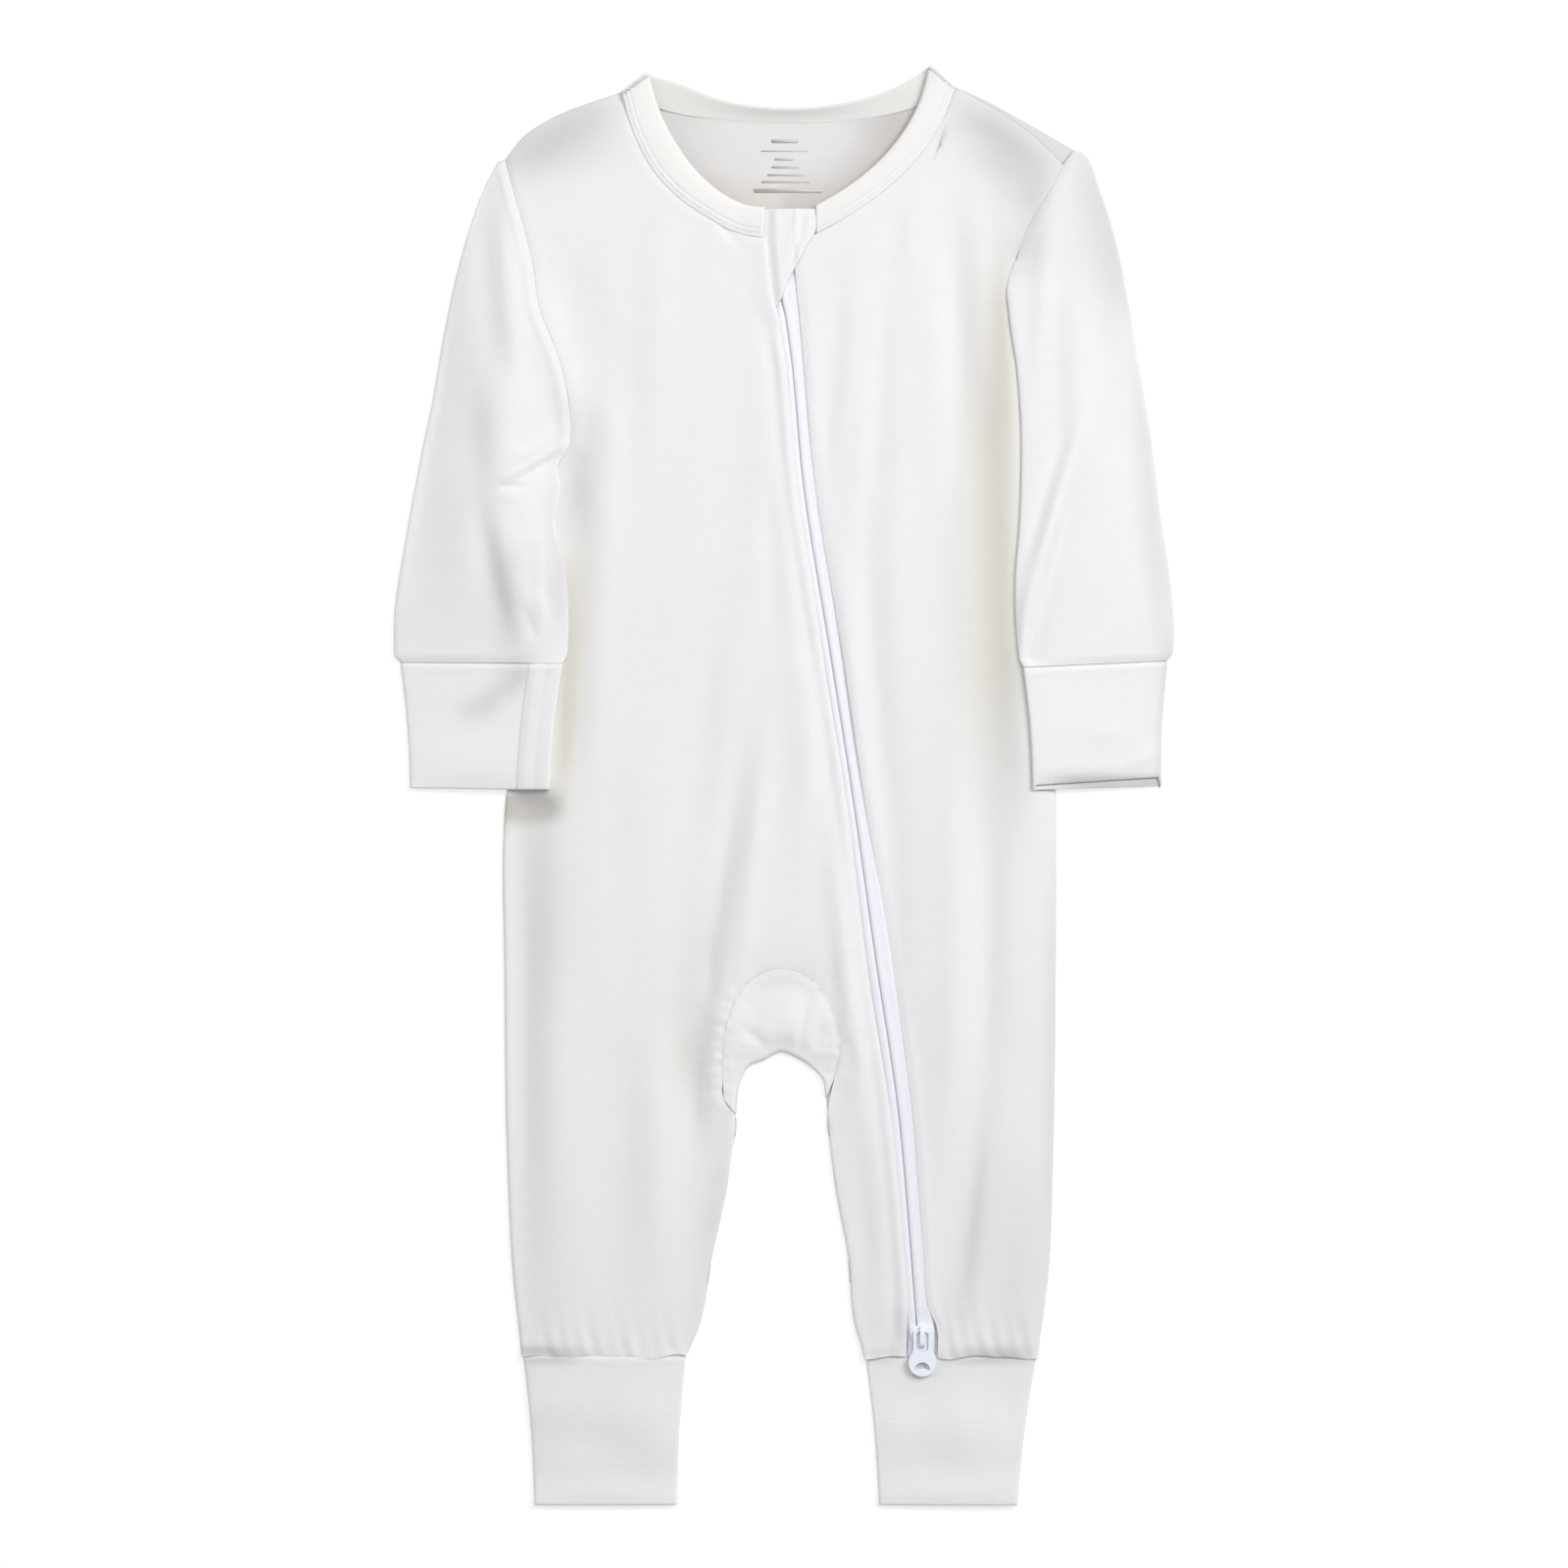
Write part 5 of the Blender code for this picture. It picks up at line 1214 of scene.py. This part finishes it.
def around(low, high, inner, outer):
    """The rows of a flattened tube: lower layer, round outer edge, upper layer, round inner edge."""

    def turn(start, end, tip, steps=5):
        angles = np.linspace(-90, 90, steps + 2)[1:-1] * math.pi / 180
        middle = (start + end) / 2
        half = (end - start) / 2
        reach = raised(tip - middle[:, :2], np.zeros(len(tip)))
        bent = [middle + half * math.sin(a) + reach * math.cos(a) for a in angles]
        return np.stack(bent, axis=1)

    outer_turn = turn(low[:, -1], high[:, -1], outer)
    inner_turn = turn(high[:, 0], low[:, 0], inner)
    return np.concatenate([low, outer_turn, high[:, ::-1], inner_turn, low[:, :1]], axis=1)


def spread_of(rows):
    """Where each point of a tube lies in its cut cloth: round the tube, and along it."""
    steps = np.linalg.norm(np.diff(rows, axis=1), axis=2)
    round_it = np.concatenate([np.zeros((len(rows), 1)), np.cumsum(steps, axis=1)], axis=1)
    middle = rows[:, rows.shape[1] // 2]
    along = np.concatenate([[0.0], np.cumsum(np.linalg.norm(np.diff(middle, axis=0), axis=1))])
    return np.stack([round_it, np.repeat(along[:, None], rows.shape[1], axis=1)], axis=-1)


UPPER_SHARES = finer(spaced(0.01, 0.02, 0.04, 0.15, 0.2, 0.22, 0.2, 0.1, 0.04, 0.02), 62, 1.4)
# The soft folds and leans of all four cuffs, and the painted grey shade along the leg cuffs' seams
CUFF_FOLDS = (
    Crease(-106, 48, -110, 40, -119, 31, 4.0, -0.8),
    Crease(-96, 48, -100, 30, -103, 10, 3.0, 0.4),
    Crease(154, 16, 147, 9, 138, 4, 3.0, 0.6),
    Crease(147, 24, 130, 20, 118, 24, 5.0, 0.5),
    Crease(-72, -236, -78, -262, -80, -288, 8.0, -0.6),
    Crease(-54, -240, -52, -262, -56, -286, 7.0, 0.6),
    Crease(52, -238, 56, -262, 54, -286, 8.0, -0.6),
    Crease(70, -240, 74, -262, 70, -288, 7.0, 0.6),
    Crease(97, -240, 92, -254, 90, -270, 3.0, -0.4),
)
CUFF_LEANS = (
    Lean(-140, -284, -74, -290, -8, -282, 10, -0.15),
    Lean(0, -290, 68, -286, 136, -290, 10, -0.15),
    Lean(-130, -270, -78, -262, -40, -280, 12, 0.10),
    Lean(20, -256, 62, -268, 100, -252, 12, 0.10),
    Lean(0, -262, 68, -262, 136, -262, 22, -0.10),
    Lean(-154, 20, -130, 16, -100, 20, 12, -0.10),
)
# Painted grey shade in the leg cuffs' seams
LEG_CUFF_PAINTED_SHADE = (
    Crease(-116, -235.2, -97, -235.2, -76, -234.8, 1.7, 1.4),
    Crease(58, -235.4, 84, -235.2, 112, -235.0, 1.7, 1.4),
    Crease(28, -235, 38, -235, 50, -235, 1.4, 0.8),
)


def cuff_rows(cuff, side, steps=34, seam_depth=0.8):
    """The lower and upper layers and the two folded edges of a cuff, row by row from its seam to its end."""
    top_in, top_out, end_in, end_out = np.array(cuff[1:5], float)
    length = np.hypot(*(end_in - top_in))
    near = np.array([0.0, 0.35, 0.7, 1.1, 1.6, 2.3])
    between = np.linspace(3.4, length - 2.6, steps)
    rows = np.concatenate([near, between, length - near[::-1]])[:, None] / length
    from_seam = rows * length
    from_end = length - from_seam
    waist = 0.9 * np.sin(np.pi * rows)
    across = (top_out - top_in) / np.linalg.norm(top_out - top_in)
    inner = top_in + (end_in - top_in) * rows + across * waist
    outer = top_out + (end_out - top_out) * rows - across * waist
    width = np.linalg.norm(outer - inner, axis=1)
    unit = (outer - inner) / width[:, None]
    fold = FOLD_SHARE * RIB
    high = inner[:, None] + unit[:, None] * (fold + (width - 2 * fold)[:, None] * UPPER_SHARES)[..., None]
    if side:
        plane, lower = under_layer(inner, unit, width, side, RIB, np.ones(len(inner), bool))
    else:
        plane = high.copy()
        lower = np.full(plane.shape[:2], RIB / 2 + BEND)
    ends = (lower[:, :1] + 2 * fold + 0.2, lower[:, -1:] + 2 * fold + 0.9)

    def upper_at(share):
        level = ends[1] + (ends[0] - ends[1]) * (1 - share) ** SAG
        return level + cuff.loft * np.sin(np.pi * share) ** 0.7 * eased(from_end / 12 + 0.35)

    held_up = np.linalg.norm(plane - inner[:, None], axis=2) / width[:, None]
    below = 2.4 - 1.15 * eased(1 - from_end / 9) * (cuff.open_end > 0)
    lower = np.maximum(lower, upper_at(np.clip(held_up, 0, 1)) - below)
    upper = upper_at(UPPER_SHARES) + folded(high, CUFF_LEANS, CUFF_FOLDS)
    upper = upper - seam_depth * hump(from_seam, 0, 0.9) + 0.2 * hump(from_seam, 2.4, 1.4)
    upper = upper - 0.3 * (1 - rounded(from_end / 0.9))
    high[..., 1] += cuff.open_end * rows**3 * (0.75 + 0.6 * UPPER_SHARES)
    return raised(plane, lower), raised(high, upper), inner, outer


def sleeve_rows(table, side, close_y, ys, cuff_ring):
    """A sleeve's ring of cloth, row by row down to its cuff, and which of its cells are cloth.

    It is open along the armhole above close_y, where its two layers meet the front and the back.
    """
    closed = ys <= close_y
    grown = eased((close_y - ys) / 18)
    edge = edge_x(SIDES, side, ys)
    inner_x = np.where(closed, edge_x(table, "inner_x", ys), edge)
    first = int(np.argmax(closed))
    inner_x[first] = edge[first]
    inner = np.stack([inner_x, ys], -1)
    outer = np.stack([edge_x(table, axis, ys) for axis in ("outer_x", "outer_y")], -1)
    width = np.linalg.norm(outer - inner, axis=1)
    unit = (outer - inner) / width[:, None]
    plane, lower = under_layer(inner, unit, width, side, KNIT, closed)
    lower = np.maximum(lower - 1.4 * (1 - grown)[:, None] * closed[:, None], KNIT / 2 + BEND)
    fold = np.minimum(FOLD_SHARE * KNIT, 0.3 * width)
    start = fold * eased((close_y - ys) / 8)
    apart = start[:, None] + (width - fold - start)[:, None] * UPPER_SHARES
    high = inner[:, None] + unit[:, None] * apart[..., None]
    seam = np.where(ys > ARMHOLE_TOP[side], EDGE_Z, front_height(high[:, 0]))
    inner_z = np.where(closed, lower[:, 0] + 2 * FOLD_SHARE * KNIT * (0.3 + 0.7 * grown), seam)
    inner_z = np.where(closed, inner_z, np.maximum(inner_z, lower[:, 0] + KNIT))
    outer_z = lower[:, -1] + np.minimum(2.6, 0.9 + 0.1 * width)
    for _ in range(4):
        inner_z[1:-1] = (inner_z[:-2] + 2 * inner_z[1:-1] + inner_z[2:]) / 4
    level = outer_z[:, None] + (inner_z - outer_z)[:, None] * (1 - UPPER_SHARES) ** SAG
    bulge = np.sin(np.pi * UPPER_SHARES) ** 0.6
    upper = level + SLEEVE_LOFT * eased(width / 45)[:, None] * bulge
    upper = upper + folded(high, SLEEVE_LEANS, SLEEVE_CREASES) * np.minimum(1, 2.5 * bulge)
    seam_apart = np.min([nearest(high, line)[0] for line in ARMHOLES], axis=0)
    upper = upper + seam_groove(seam_apart, SLEEVE_SEAM) * eased((ys - close_y + 30) / 30)[:, None]
    ring = around(raised(plane, lower), raised(high, upper), inner, outer)
    closing = eased((4.5 - (ys - ys[-1])) / 4.5)[:, None, None]
    target = cuff_ring[0][None].copy()
    target[..., 2] += np.where(target[..., 2] > target[..., 2].min() + 1.2, 0.9, 0.0)
    target = target + np.array([0.0, 1.0, 0.0]) * (ys - ys[-1])[:, None, None]
    ring = ring + (target - ring) * closing**3
    keep = np.ones((ring.shape[0] - 1, ring.shape[1] - 1), bool)
    keep[:first, -6:] = False
    return ring, keep


def graded(top, close_y, bottom):
    """Heights of a sleeve's rows, closer together at its head and at its cuff."""
    upper = np.linspace(top, close_y, max(4, round((top - close_y) / 2.0)))
    lower = np.linspace(close_y, bottom + 4, max(4, round((close_y - bottom) / 1.3)))
    return np.concatenate([upper, lower[1:], bottom + np.array([3.2, 2.2, 1.4, 0.8, 0.4, 0.15, 0.0])])


SLEEVES = (
    ("right", SLEEVE_RIGHT, CLOSE_RIGHT, CUFF_RIGHT, front_right),
    ("left", SLEEVE_LEFT, CLOSE_LEFT, CUFF_LEFT, front_left),
)
for side, table, close_y, cuff, front in SLEEVES:
    ring = around(*cuff_rows(cuff, side))
    # Painted grey shade on the cuff and then the sleeve, where they turn away or lie in shadow
    painted_shade = folded(ring[..., :2], (), SLEEVE_PAINTED_SHADE) / 2
    made = cloth("cuff_" + side + "_rib", ring, RIB, rib, ring=True, knit=spread_of(ring), painted_shade=painted_shade)
    sewn(made, "cuff_" + side)
    tube, keep = sleeve_rows(table, side, close_y, graded(table[0].y, close_y, table[-1].y), ring)
    knit = spread_of(tube)
    painted_shade = folded(tube[..., :2], (), SLEEVE_PAINTED_SHADE) / 2
    sleeve = cloth("sleeve_" + side + "_tube", tube, KNIT, jersey, keep, ring=True, knit=knit, painted_shade=painted_shade)
    sewn(sleeve, "sleeve_" + side)


# ---- Mitten fold
# The right cuff has a fold-over mitten of the same rib, caught in the cuff's seam. Only its turned strip
# shows, along the cuff's inner edge.
MITTEN_WIDTH = 12.6
MITTEN_WALL = 0.5
MITTEN_GAP = 0.05
upper_layer = cuff_rows(CUFF_RIGHT, "right", 40)[1]
across = np.concatenate([np.linspace(0, 0.9, 14), [0.93, 0.96, 0.98, 1.0]])
rise = (RIB + MITTEN_WALL) / 2 + MITTEN_GAP - 0.6 * (1 - rounded((1 - across) / 0.22))
rise = rise + 0.3 * hump(across, 0.74, 0.1) - 0.3 * hump(across, 0.42, 0.07)
rows = []
for layer in upper_layer:
    strip = layer[0, :2] + np.array([-1.0, 0.0]) * MITTEN_WIDTH * across[:, None]
    rows.append(raised(strip, np.interp(-strip[:, 0], -layer[:, 0], layer[:, 2]) + rise))
mitten = cloth("mitten_strip", np.array(rows), MITTEN_WALL, rib)
sewn(mitten, "mitten_fold")


# ---- Leg cuffs
# Two wide tubes of doubled rib, folded at their open ends and sewn to the gathered ends of the legs. Each
# lies flat, with its lower layer on the table.
LEG_CUFFS = (
    Cuff("leg_cuff_right", (-40.4, -233.0), (-106.2, -233.0), (-44.0, -294.2), (-101.6, -294.2), 1.4, 0.0),
    Cuff("leg_cuff_left", (33.6, -233.0), (102.8, -233.0), (39.2, -294.2), (95.0, -294.2), 0.6, 0.0),
)
for cuff in LEG_CUFFS:
    ring = around(*cuff_rows(cuff, None, 40, seam_depth=0.45))
    # Painted grey shade along the cuff's seam
    painted_shade = folded(ring[..., :2], (), LEG_CUFF_PAINTED_SHADE) / 2
    made = cloth(cuff.name + "_rib", ring, RIB, rib, ring=True, knit=spread_of(ring), painted_shade=painted_shade)
    sewn(made, cuff.name)


# ---- Neck band
# A strip of doubled rib round the neck, twin-needle stitched beside its seam. It folds over at the
# shoulders and stands up a little at the back of the neck. Its ends meet the zip.
BAND_BACK_Z = 1.35       # middle of its wall over the edge of the back
BAND_SHOULDER_Z = 4.6    # middle of its wall where it folds over the shoulder
BAND_SAMPLES = 70        # sections along each part of the band
BAND_SWELL = 0.85        # how full it is between its seam and its edge
TWIN_NEEDLE = (1.5, 3.5) # how far in from the seam its two rows of stitches run
NEEDLE_DEPTH = 0.24


def band_sections():
    """The band's seam and edge, section by section round the neck, and how far each is part of its front."""

    def front_sections(band):
        ts = np.linspace(0, 1, BAND_SAMPLES)
        seam = table_path(band, "seam_x", "seam_y")(ts)
        edge = table_path(band, "edge_x", "edge_y")(ts)
        near_fold = eased(1 - ts / 0.25)
        inward = seam - 4 * (edge - seam) / np.linalg.norm(edge - seam, axis=1)[:, None]
        height = front_height(inward) + guard_lift(seam) - 0.3
        for _ in range(8):
            height[1:-1] = (height[:-2] + 2 * height[1:-1] + height[2:]) / 4
        height = height + (BAND_SHOULDER_Z - height) * near_fold
        return np.stack([raised(seam, height), raised(edge, height)], axis=1)

    def shoulder_fold(section, outward):
        """The half turn from the front's height down to the back's."""
        radius = (section[0, 2] - BAND_BACK_Z) / 2
        turned = []
        for angle in np.radians(np.linspace(0, 180, 9)):
            shift = np.append(outward * radius * (math.sin(angle) - 1), -radius * (1 - math.cos(angle)))
            turned.append(section + shift)
        return np.array(turned)

    right = front_sections(BAND_RIGHT)
    left = front_sections(BAND_LEFT)
    right_fold = shoulder_fold(right[0], np.array([-0.62, 0.78]))
    left_fold = shoulder_fold(left[0], np.array([0.64, 0.77]))
    ends = [right_fold[-1], left_fold[-1]]
    seam_line = list(zip(column(BAND_BACK, "seam_x"), column(BAND_BACK, "seam_y")))
    edge_line = list(zip(column(BAND_BACK, "edge_x"), column(BAND_BACK, "edge_y")))
    seam = path([ends[0][0, :2]] + seam_line + [ends[1][0, :2]])
    edge = path([ends[0][1, :2]] + edge_line + [ends[1][1, :2]])
    ts = np.linspace(0, 1, BAND_SAMPLES)[1:-1]
    heights = [BAND_BACK_Z] + column(BAND_BACK, "edge_height") + [BAND_BACK_Z]
    edge_height = smooth(np.linspace(0, 1, len(heights)), heights, ts)
    sunk = BAND_BACK_Z - 0.9 * np.sin(np.pi * ts) ** 0.4
    back_part = np.stack([raised(seam(ts), sunk), raised(edge(ts), edge_height)], axis=1)
    parts = (right[:0:-1], right_fold, back_part, left_fold[::-1], left[1:])
    front_share = [np.ones(len(right) - 1), np.linspace(1, 0.3, 9), np.full(len(ts), 0.3)]
    front_share += [np.linspace(0.3, 1, 9), np.ones(len(left) - 1)]
    return np.concatenate(parts), np.concatenate(front_share)


sections, front_share = band_sections()
band_share = finer(np.array([0, 0.03, 0.08, 0.9, 0.96, 0.99, 1.0]), 12, 0.35)[None, :, None]
points = sections[:, :1] * (1 - band_share) + sections[:, 1:] * band_share
width = np.linalg.norm(sections[:, 1] - sections[:, 0], axis=1)[:, None]
in_from_seam = width * band_share[:, :, 0]
swell = BAND_SWELL * np.sin(np.pi * band_share[:, :, 0]) ** 0.5
for needle in TWIN_NEEDLE:
    swell = swell - NEEDLE_DEPTH * hump(in_from_seam, needle, 0.42)
ends = 0.5 * (1 - rounded(in_from_seam / 0.9)) * front_share[:, None]
ends = ends + 0.7 * (1 - rounded((width - in_from_seam) / 1.1))
rise = np.maximum(sections[:, 1, 2] - sections[:, 0, 2], 0)[:, None]
bowl = 0.27 * rise * (1 - front_share)[:, None] * np.sin(np.pi * band_share[:, :, 0])
points[..., 2] += swell * front_share[:, None] ** 2 - bowl - ends * (0.5 + 0.5 * front_share[:, None])
middle = points[:, points.shape[1] // 2]
along = np.concatenate([[0.0], np.cumsum(np.linalg.norm(np.diff(middle, axis=0), axis=1))])
knit = np.stack([np.repeat(along[:, None], points.shape[1], axis=1), in_from_seam + 0 * points[..., 0]], -1)
# Painted grey shade on the band, most on its back part, which tilts away from the light
painted_shade = np.repeat((0.05 + 0.6 * (1 - front_share))[:, None], points.shape[1], axis=1)
neck_band = cloth("neck_band_rib", points, RIB, band_knit, knit=knit, painted_shade=painted_shade)
sewn(neck_band, "neck_band")


# ---- Zip
# A fine zip on woven tape, its coils on the far side, its halves sewn under the turned edges of the fronts.
# It starts under the neck band and curves down to the slider at the left ankle.
TAPE_Z = 3.5             # middle of the tapes' wall away from their rolled edges
TAPE_WALL = 0.6
TAPE_TOP_Y = 220.0
TAPE_WIDTH = 9.0         # each half
SLIT_SHARE = 0.33        # where the halves meet, as a share of the way from the right front to the left
SLIT_HALF = 0.25
SLIDER_TOP_Y = -214.0    # the tapes flatten below this, to run through the slider


def woven(name, pale, deep):
    """Woven tape: a fine diagonal twill in matt, slightly cool white."""
    material, shader, nodes = new_material(name, 0.7, 0.3, sheen=0.05)
    knit = nodes.node("ShaderNodeUVMap", {"uv_map": "knit"}, {})
    turned = nodes.node("ShaderNodeMapping", {}, {"Vector": knit, "Rotation": (0.0, 0.0, 0.9)})
    twill = nodes.node("ShaderNodeTexWave", {}, {"Vector": turned, "Scale": 420.0, "Distortion": 0.6})
    grain = nodes.node("ShaderNodeTexNoise", {}, {"Vector": knit, "Scale": 260.0, "Detail": 2.0})
    feed(shader, "Base Color", (twill * 0.4 + grain * 0.6).color(deep, pale))
    bump = nodes.node("ShaderNodeBump", {}, {"Height": twill, "Strength": 0.3, "Distance": 0.0002})
    feed(shader, "Normal", bump)
    return material


tape_cloth = woven("zip_tape_cloth", (0.84, 0.83, 0.845), (0.78, 0.77, 0.79))
ys = [np.linspace(CUFF_SEAM_Y - 1.5, SLIDER_TOP_Y, 16), np.linspace(SLIDER_TOP_Y + 3, TAPE_TOP_Y, 180)]
ys = np.concatenate(ys)
right_edge = edge_x(ZIP, "right_front", ys)
left_edge = edge_x(ZIP, "left_front", ys)
slit = right_edge + SLIT_SHARE * (left_edge - right_edge)
through_slider = eased((SLIDER_TOP_Y - ys) / 6)[:, None]
across = np.concatenate([np.linspace(0, 0.5, 12), np.linspace(0.5, 1, 6)[1:]])
apart = SLIT_HALF + across * TAPE_WIDTH
# Each half: which way it lies, its share of the slit, its roll over the coils, what it dips by under the
# guard and from where, and how far from the slit the slider's edge is
Half = namedtuple("Half", "side sign share roll guard_dip guard_y slider_edge")
HALVES = (
    Half("right", -1, SLIT_SHARE, 0.3, 0.6, 190, 3.2),
    Half("left", 1, 1 - SLIT_SHARE, 0.35, 0.5, 203, 6.8),
)
for half in HALVES:
    x = slit[:, None] + half.sign * apart[None, :]
    rolled = half.roll * hump(apart, 1.5, 1.3) - 0.5 * hump(apart, SLIT_HALF, 0.4)
    shown = (left_edge - right_edge) * half.share
    hidden = eased((apart[None, :] - shown[:, None] + 0.1) / 1.2) * (1 - through_slider)
    under_guard = half.guard_dip * eased((ys - half.guard_y) / 6)[:, None]
    beside_slider = eased((apart - half.slider_edge) / 0.7)[None, :] * through_slider
    z = TAPE_Z + rolled[None, :] * (1 - through_slider) - 0.4 * through_slider
    z = z - 1.1 * hidden - under_guard - 1.5 * beside_slider
    plane = np.stack([x, np.repeat(ys[:, None], len(across), axis=1)], -1)
    tape = cloth("zip_tape_" + half.side + "_cloth", raised(plane, z), TAPE_WALL, tape_cloth)
    sewn(tape, "zip_tape_" + half.side)


# ---- Zip guard
# A folded flap of jersey over the top of the zip, tucked under the right front and free on the left, so
# that the slider can't pinch the chin.
Guard = namedtuple("Guard", "y tucked free")
GUARD = (
    Guard(234.6, -9.4, 12.6),
    Guard(224.6, -8.8, 12.5),
    Guard(219.0, -8.4, 9.0),
    Guard(213.8, -8.0, 6.2),
    Guard(208.6, -7.6, 3.4),
    Guard(203.8, -7.2, 1.0),
    Guard(198.6, -6.8, -1.0),
    Guard(195.0, -6.4, -2.6),
)
GUARD_WALL = 1.0         # two layers of the jersey
GUARD_TUCKED_Z = 3.8     # middle of its wall under the right front
GUARD_CREASES = (
    Crease(8.2, 238, 6.0, 222, 0.6, 206, 1.1, -0.4),
    Crease(5.0, 236, 3.0, 222, 0.0, 208, 1.8, 0.35),
    Crease(10.5, 238, 9.4, 224, 4.6, 212, 1.2, 0.3),
)
ys = np.linspace(GUARD[-1].y, GUARD[0].y, 46)
tucked = edge_x(GUARD, "tucked", ys)
free = edge_x(GUARD, "free", ys)
shares = finer(np.array([0, 0.9, 0.97, 1.0]), 18, 0.5)
x = tucked[:, None] + (free - tucked)[:, None] * shares[None, :]
plane = np.stack([x, np.repeat(ys[:, None], len(shares), axis=1)], -1)
on_left = np.stack([np.maximum(x, edge_x(ZIP, "left_front", plane[..., 1]) + 1.0), plane[..., 1]], -1)
resting = front_height(on_left) + (KNIT + GUARD_WALL) / 2 + 0.5
over_left = eased((x - edge_x(ZIP, "right_front", ys)[:, None] - 0.6) / 4.0)
heights = GUARD_TUCKED_Z + (resting - GUARD_TUCKED_Z) * over_left
heights = heights + folded(plane, (), GUARD_CREASES) * eased((free[:, None] - x) / 2)
guard = cloth("zip_guard_flap", raised(plane, heights), GUARD_WALL, jersey)
sewn(guard, "zip_guard")


# ---- Stitches
# White sewing thread: two rows of twin-needle stitches round the front of the neck band, and one row down
# the left front beside the zip, each stitch a short length that dips into the cloth at both ends.
THREAD_SUNK = 0.06    # how deep the twin-needle stitches sit in the band
thread, thread_shader, thread_nodes = new_material("white_thread", 0.6, 0.3, sheen=0.2)
place = thread_nodes.node("ShaderNodeTexCoord", {}, {}, output=3)
twist = thread_nodes.node("ShaderNodeTexNoise", {}, {"Vector": place, "Scale": 900.0, "Detail": 1.0})
feed(thread_shader, "Base Color", twist.color((0.80, 0.79, 0.76), (0.88, 0.87, 0.85)))


def stitched(name, rows, pitch, length, thick):
    """Stitches end to end along rows of points in millimetres, each a small rounded length of thread."""
    bm = bmesh.new()
    for row in rows:
        steps = np.linalg.norm(np.diff(row, axis=0), axis=1)
        stations = np.concatenate([[0.0], np.cumsum(steps)])
        for station in np.arange(pitch / 2, stations[-1] - pitch / 2, pitch):
            before, after = [
                np.array([np.interp(station + step, stations, row[:, axis]) for axis in range(3)])
                for step in (-0.5, 0.5)
            ]
            made = bmesh.ops.create_uvsphere(bm, u_segments=6, v_segments=4, radius=0.5)
            bmesh.ops.scale(bm, verts=made["verts"], vec=(thick, thick, length))
            turn = Vector(after - before).to_track_quat("Z", "Y").to_matrix()
            bmesh.ops.rotate(bm, verts=made["verts"], matrix=turn, cent=(0, 0, 0))
            bmesh.ops.translate(bm, verts=made["verts"], vec=(before + after) / 2)
    bmesh.ops.scale(bm, verts=bm.verts, vec=(MM, MM, MM))
    return show(name, bm, thread)


rows = []
for needle in TWIN_NEEDLE:
    share = needle / width[:, 0]
    line = sections[:, 0] * (1 - share[:, None]) + sections[:, 1] * share[:, None]
    line[:, 2] += (BAND_SWELL * np.sin(np.pi * share) ** 0.5 - NEEDLE_DEPTH) * front_share
    line[:, 2] += RIB / 2 - THREAD_SUNK
    rows.append(line[:BAND_SAMPLES - 1])
    rows.append(line[1 - BAND_SAMPLES:])
band_thread = stitched("band_stitches", rows, 2.9, 2.3, 0.42)
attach(band_thread, "garment")

ys = np.linspace(-210, 186, 200)
line = np.stack([edge_x(ZIP, "left_front", ys) + STITCHED_IN, ys], -1)
rows = [raised(line, front_height(line) + KNIT / 2 + 0.02)]
zip_thread = stitched("zip_stitches", rows, 3.5, 2.5, 0.45)
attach(zip_thread, "garment")


# ---- Slider and pull tab
# Die-cast metal under smooth white lacquer, slightly uneven where it pooled. The slider's body grips both
# tapes, and its bridge holds the pull tab, which swings on it.
lacquer, lacquer_shader, lacquer_nodes = new_material("white_lacquer", 0.32, 0.5, coat=0.3)
place = lacquer_nodes.node("ShaderNodeTexCoord", {}, {}, output=3)
pooled = lacquer_nodes.node("ShaderNodeTexNoise", {}, {"Vector": place, "Scale": 500.0, "Detail": 2.0})
feed(lacquer_shader, "Base Color", pooled.color((0.78, 0.81, 0.86), (0.86, 0.88, 0.92)))
bump = lacquer_nodes.node("ShaderNodeBump", {}, {"Height": pooled, "Strength": 0.15, "Distance": 0.0001})
feed(lacquer_shader, "Normal", bump)
for node in ("zip_slider", "zip_pull_tab"):
    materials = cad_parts[node].data.materials
    materials.clear()
    materials.append(lacquer)
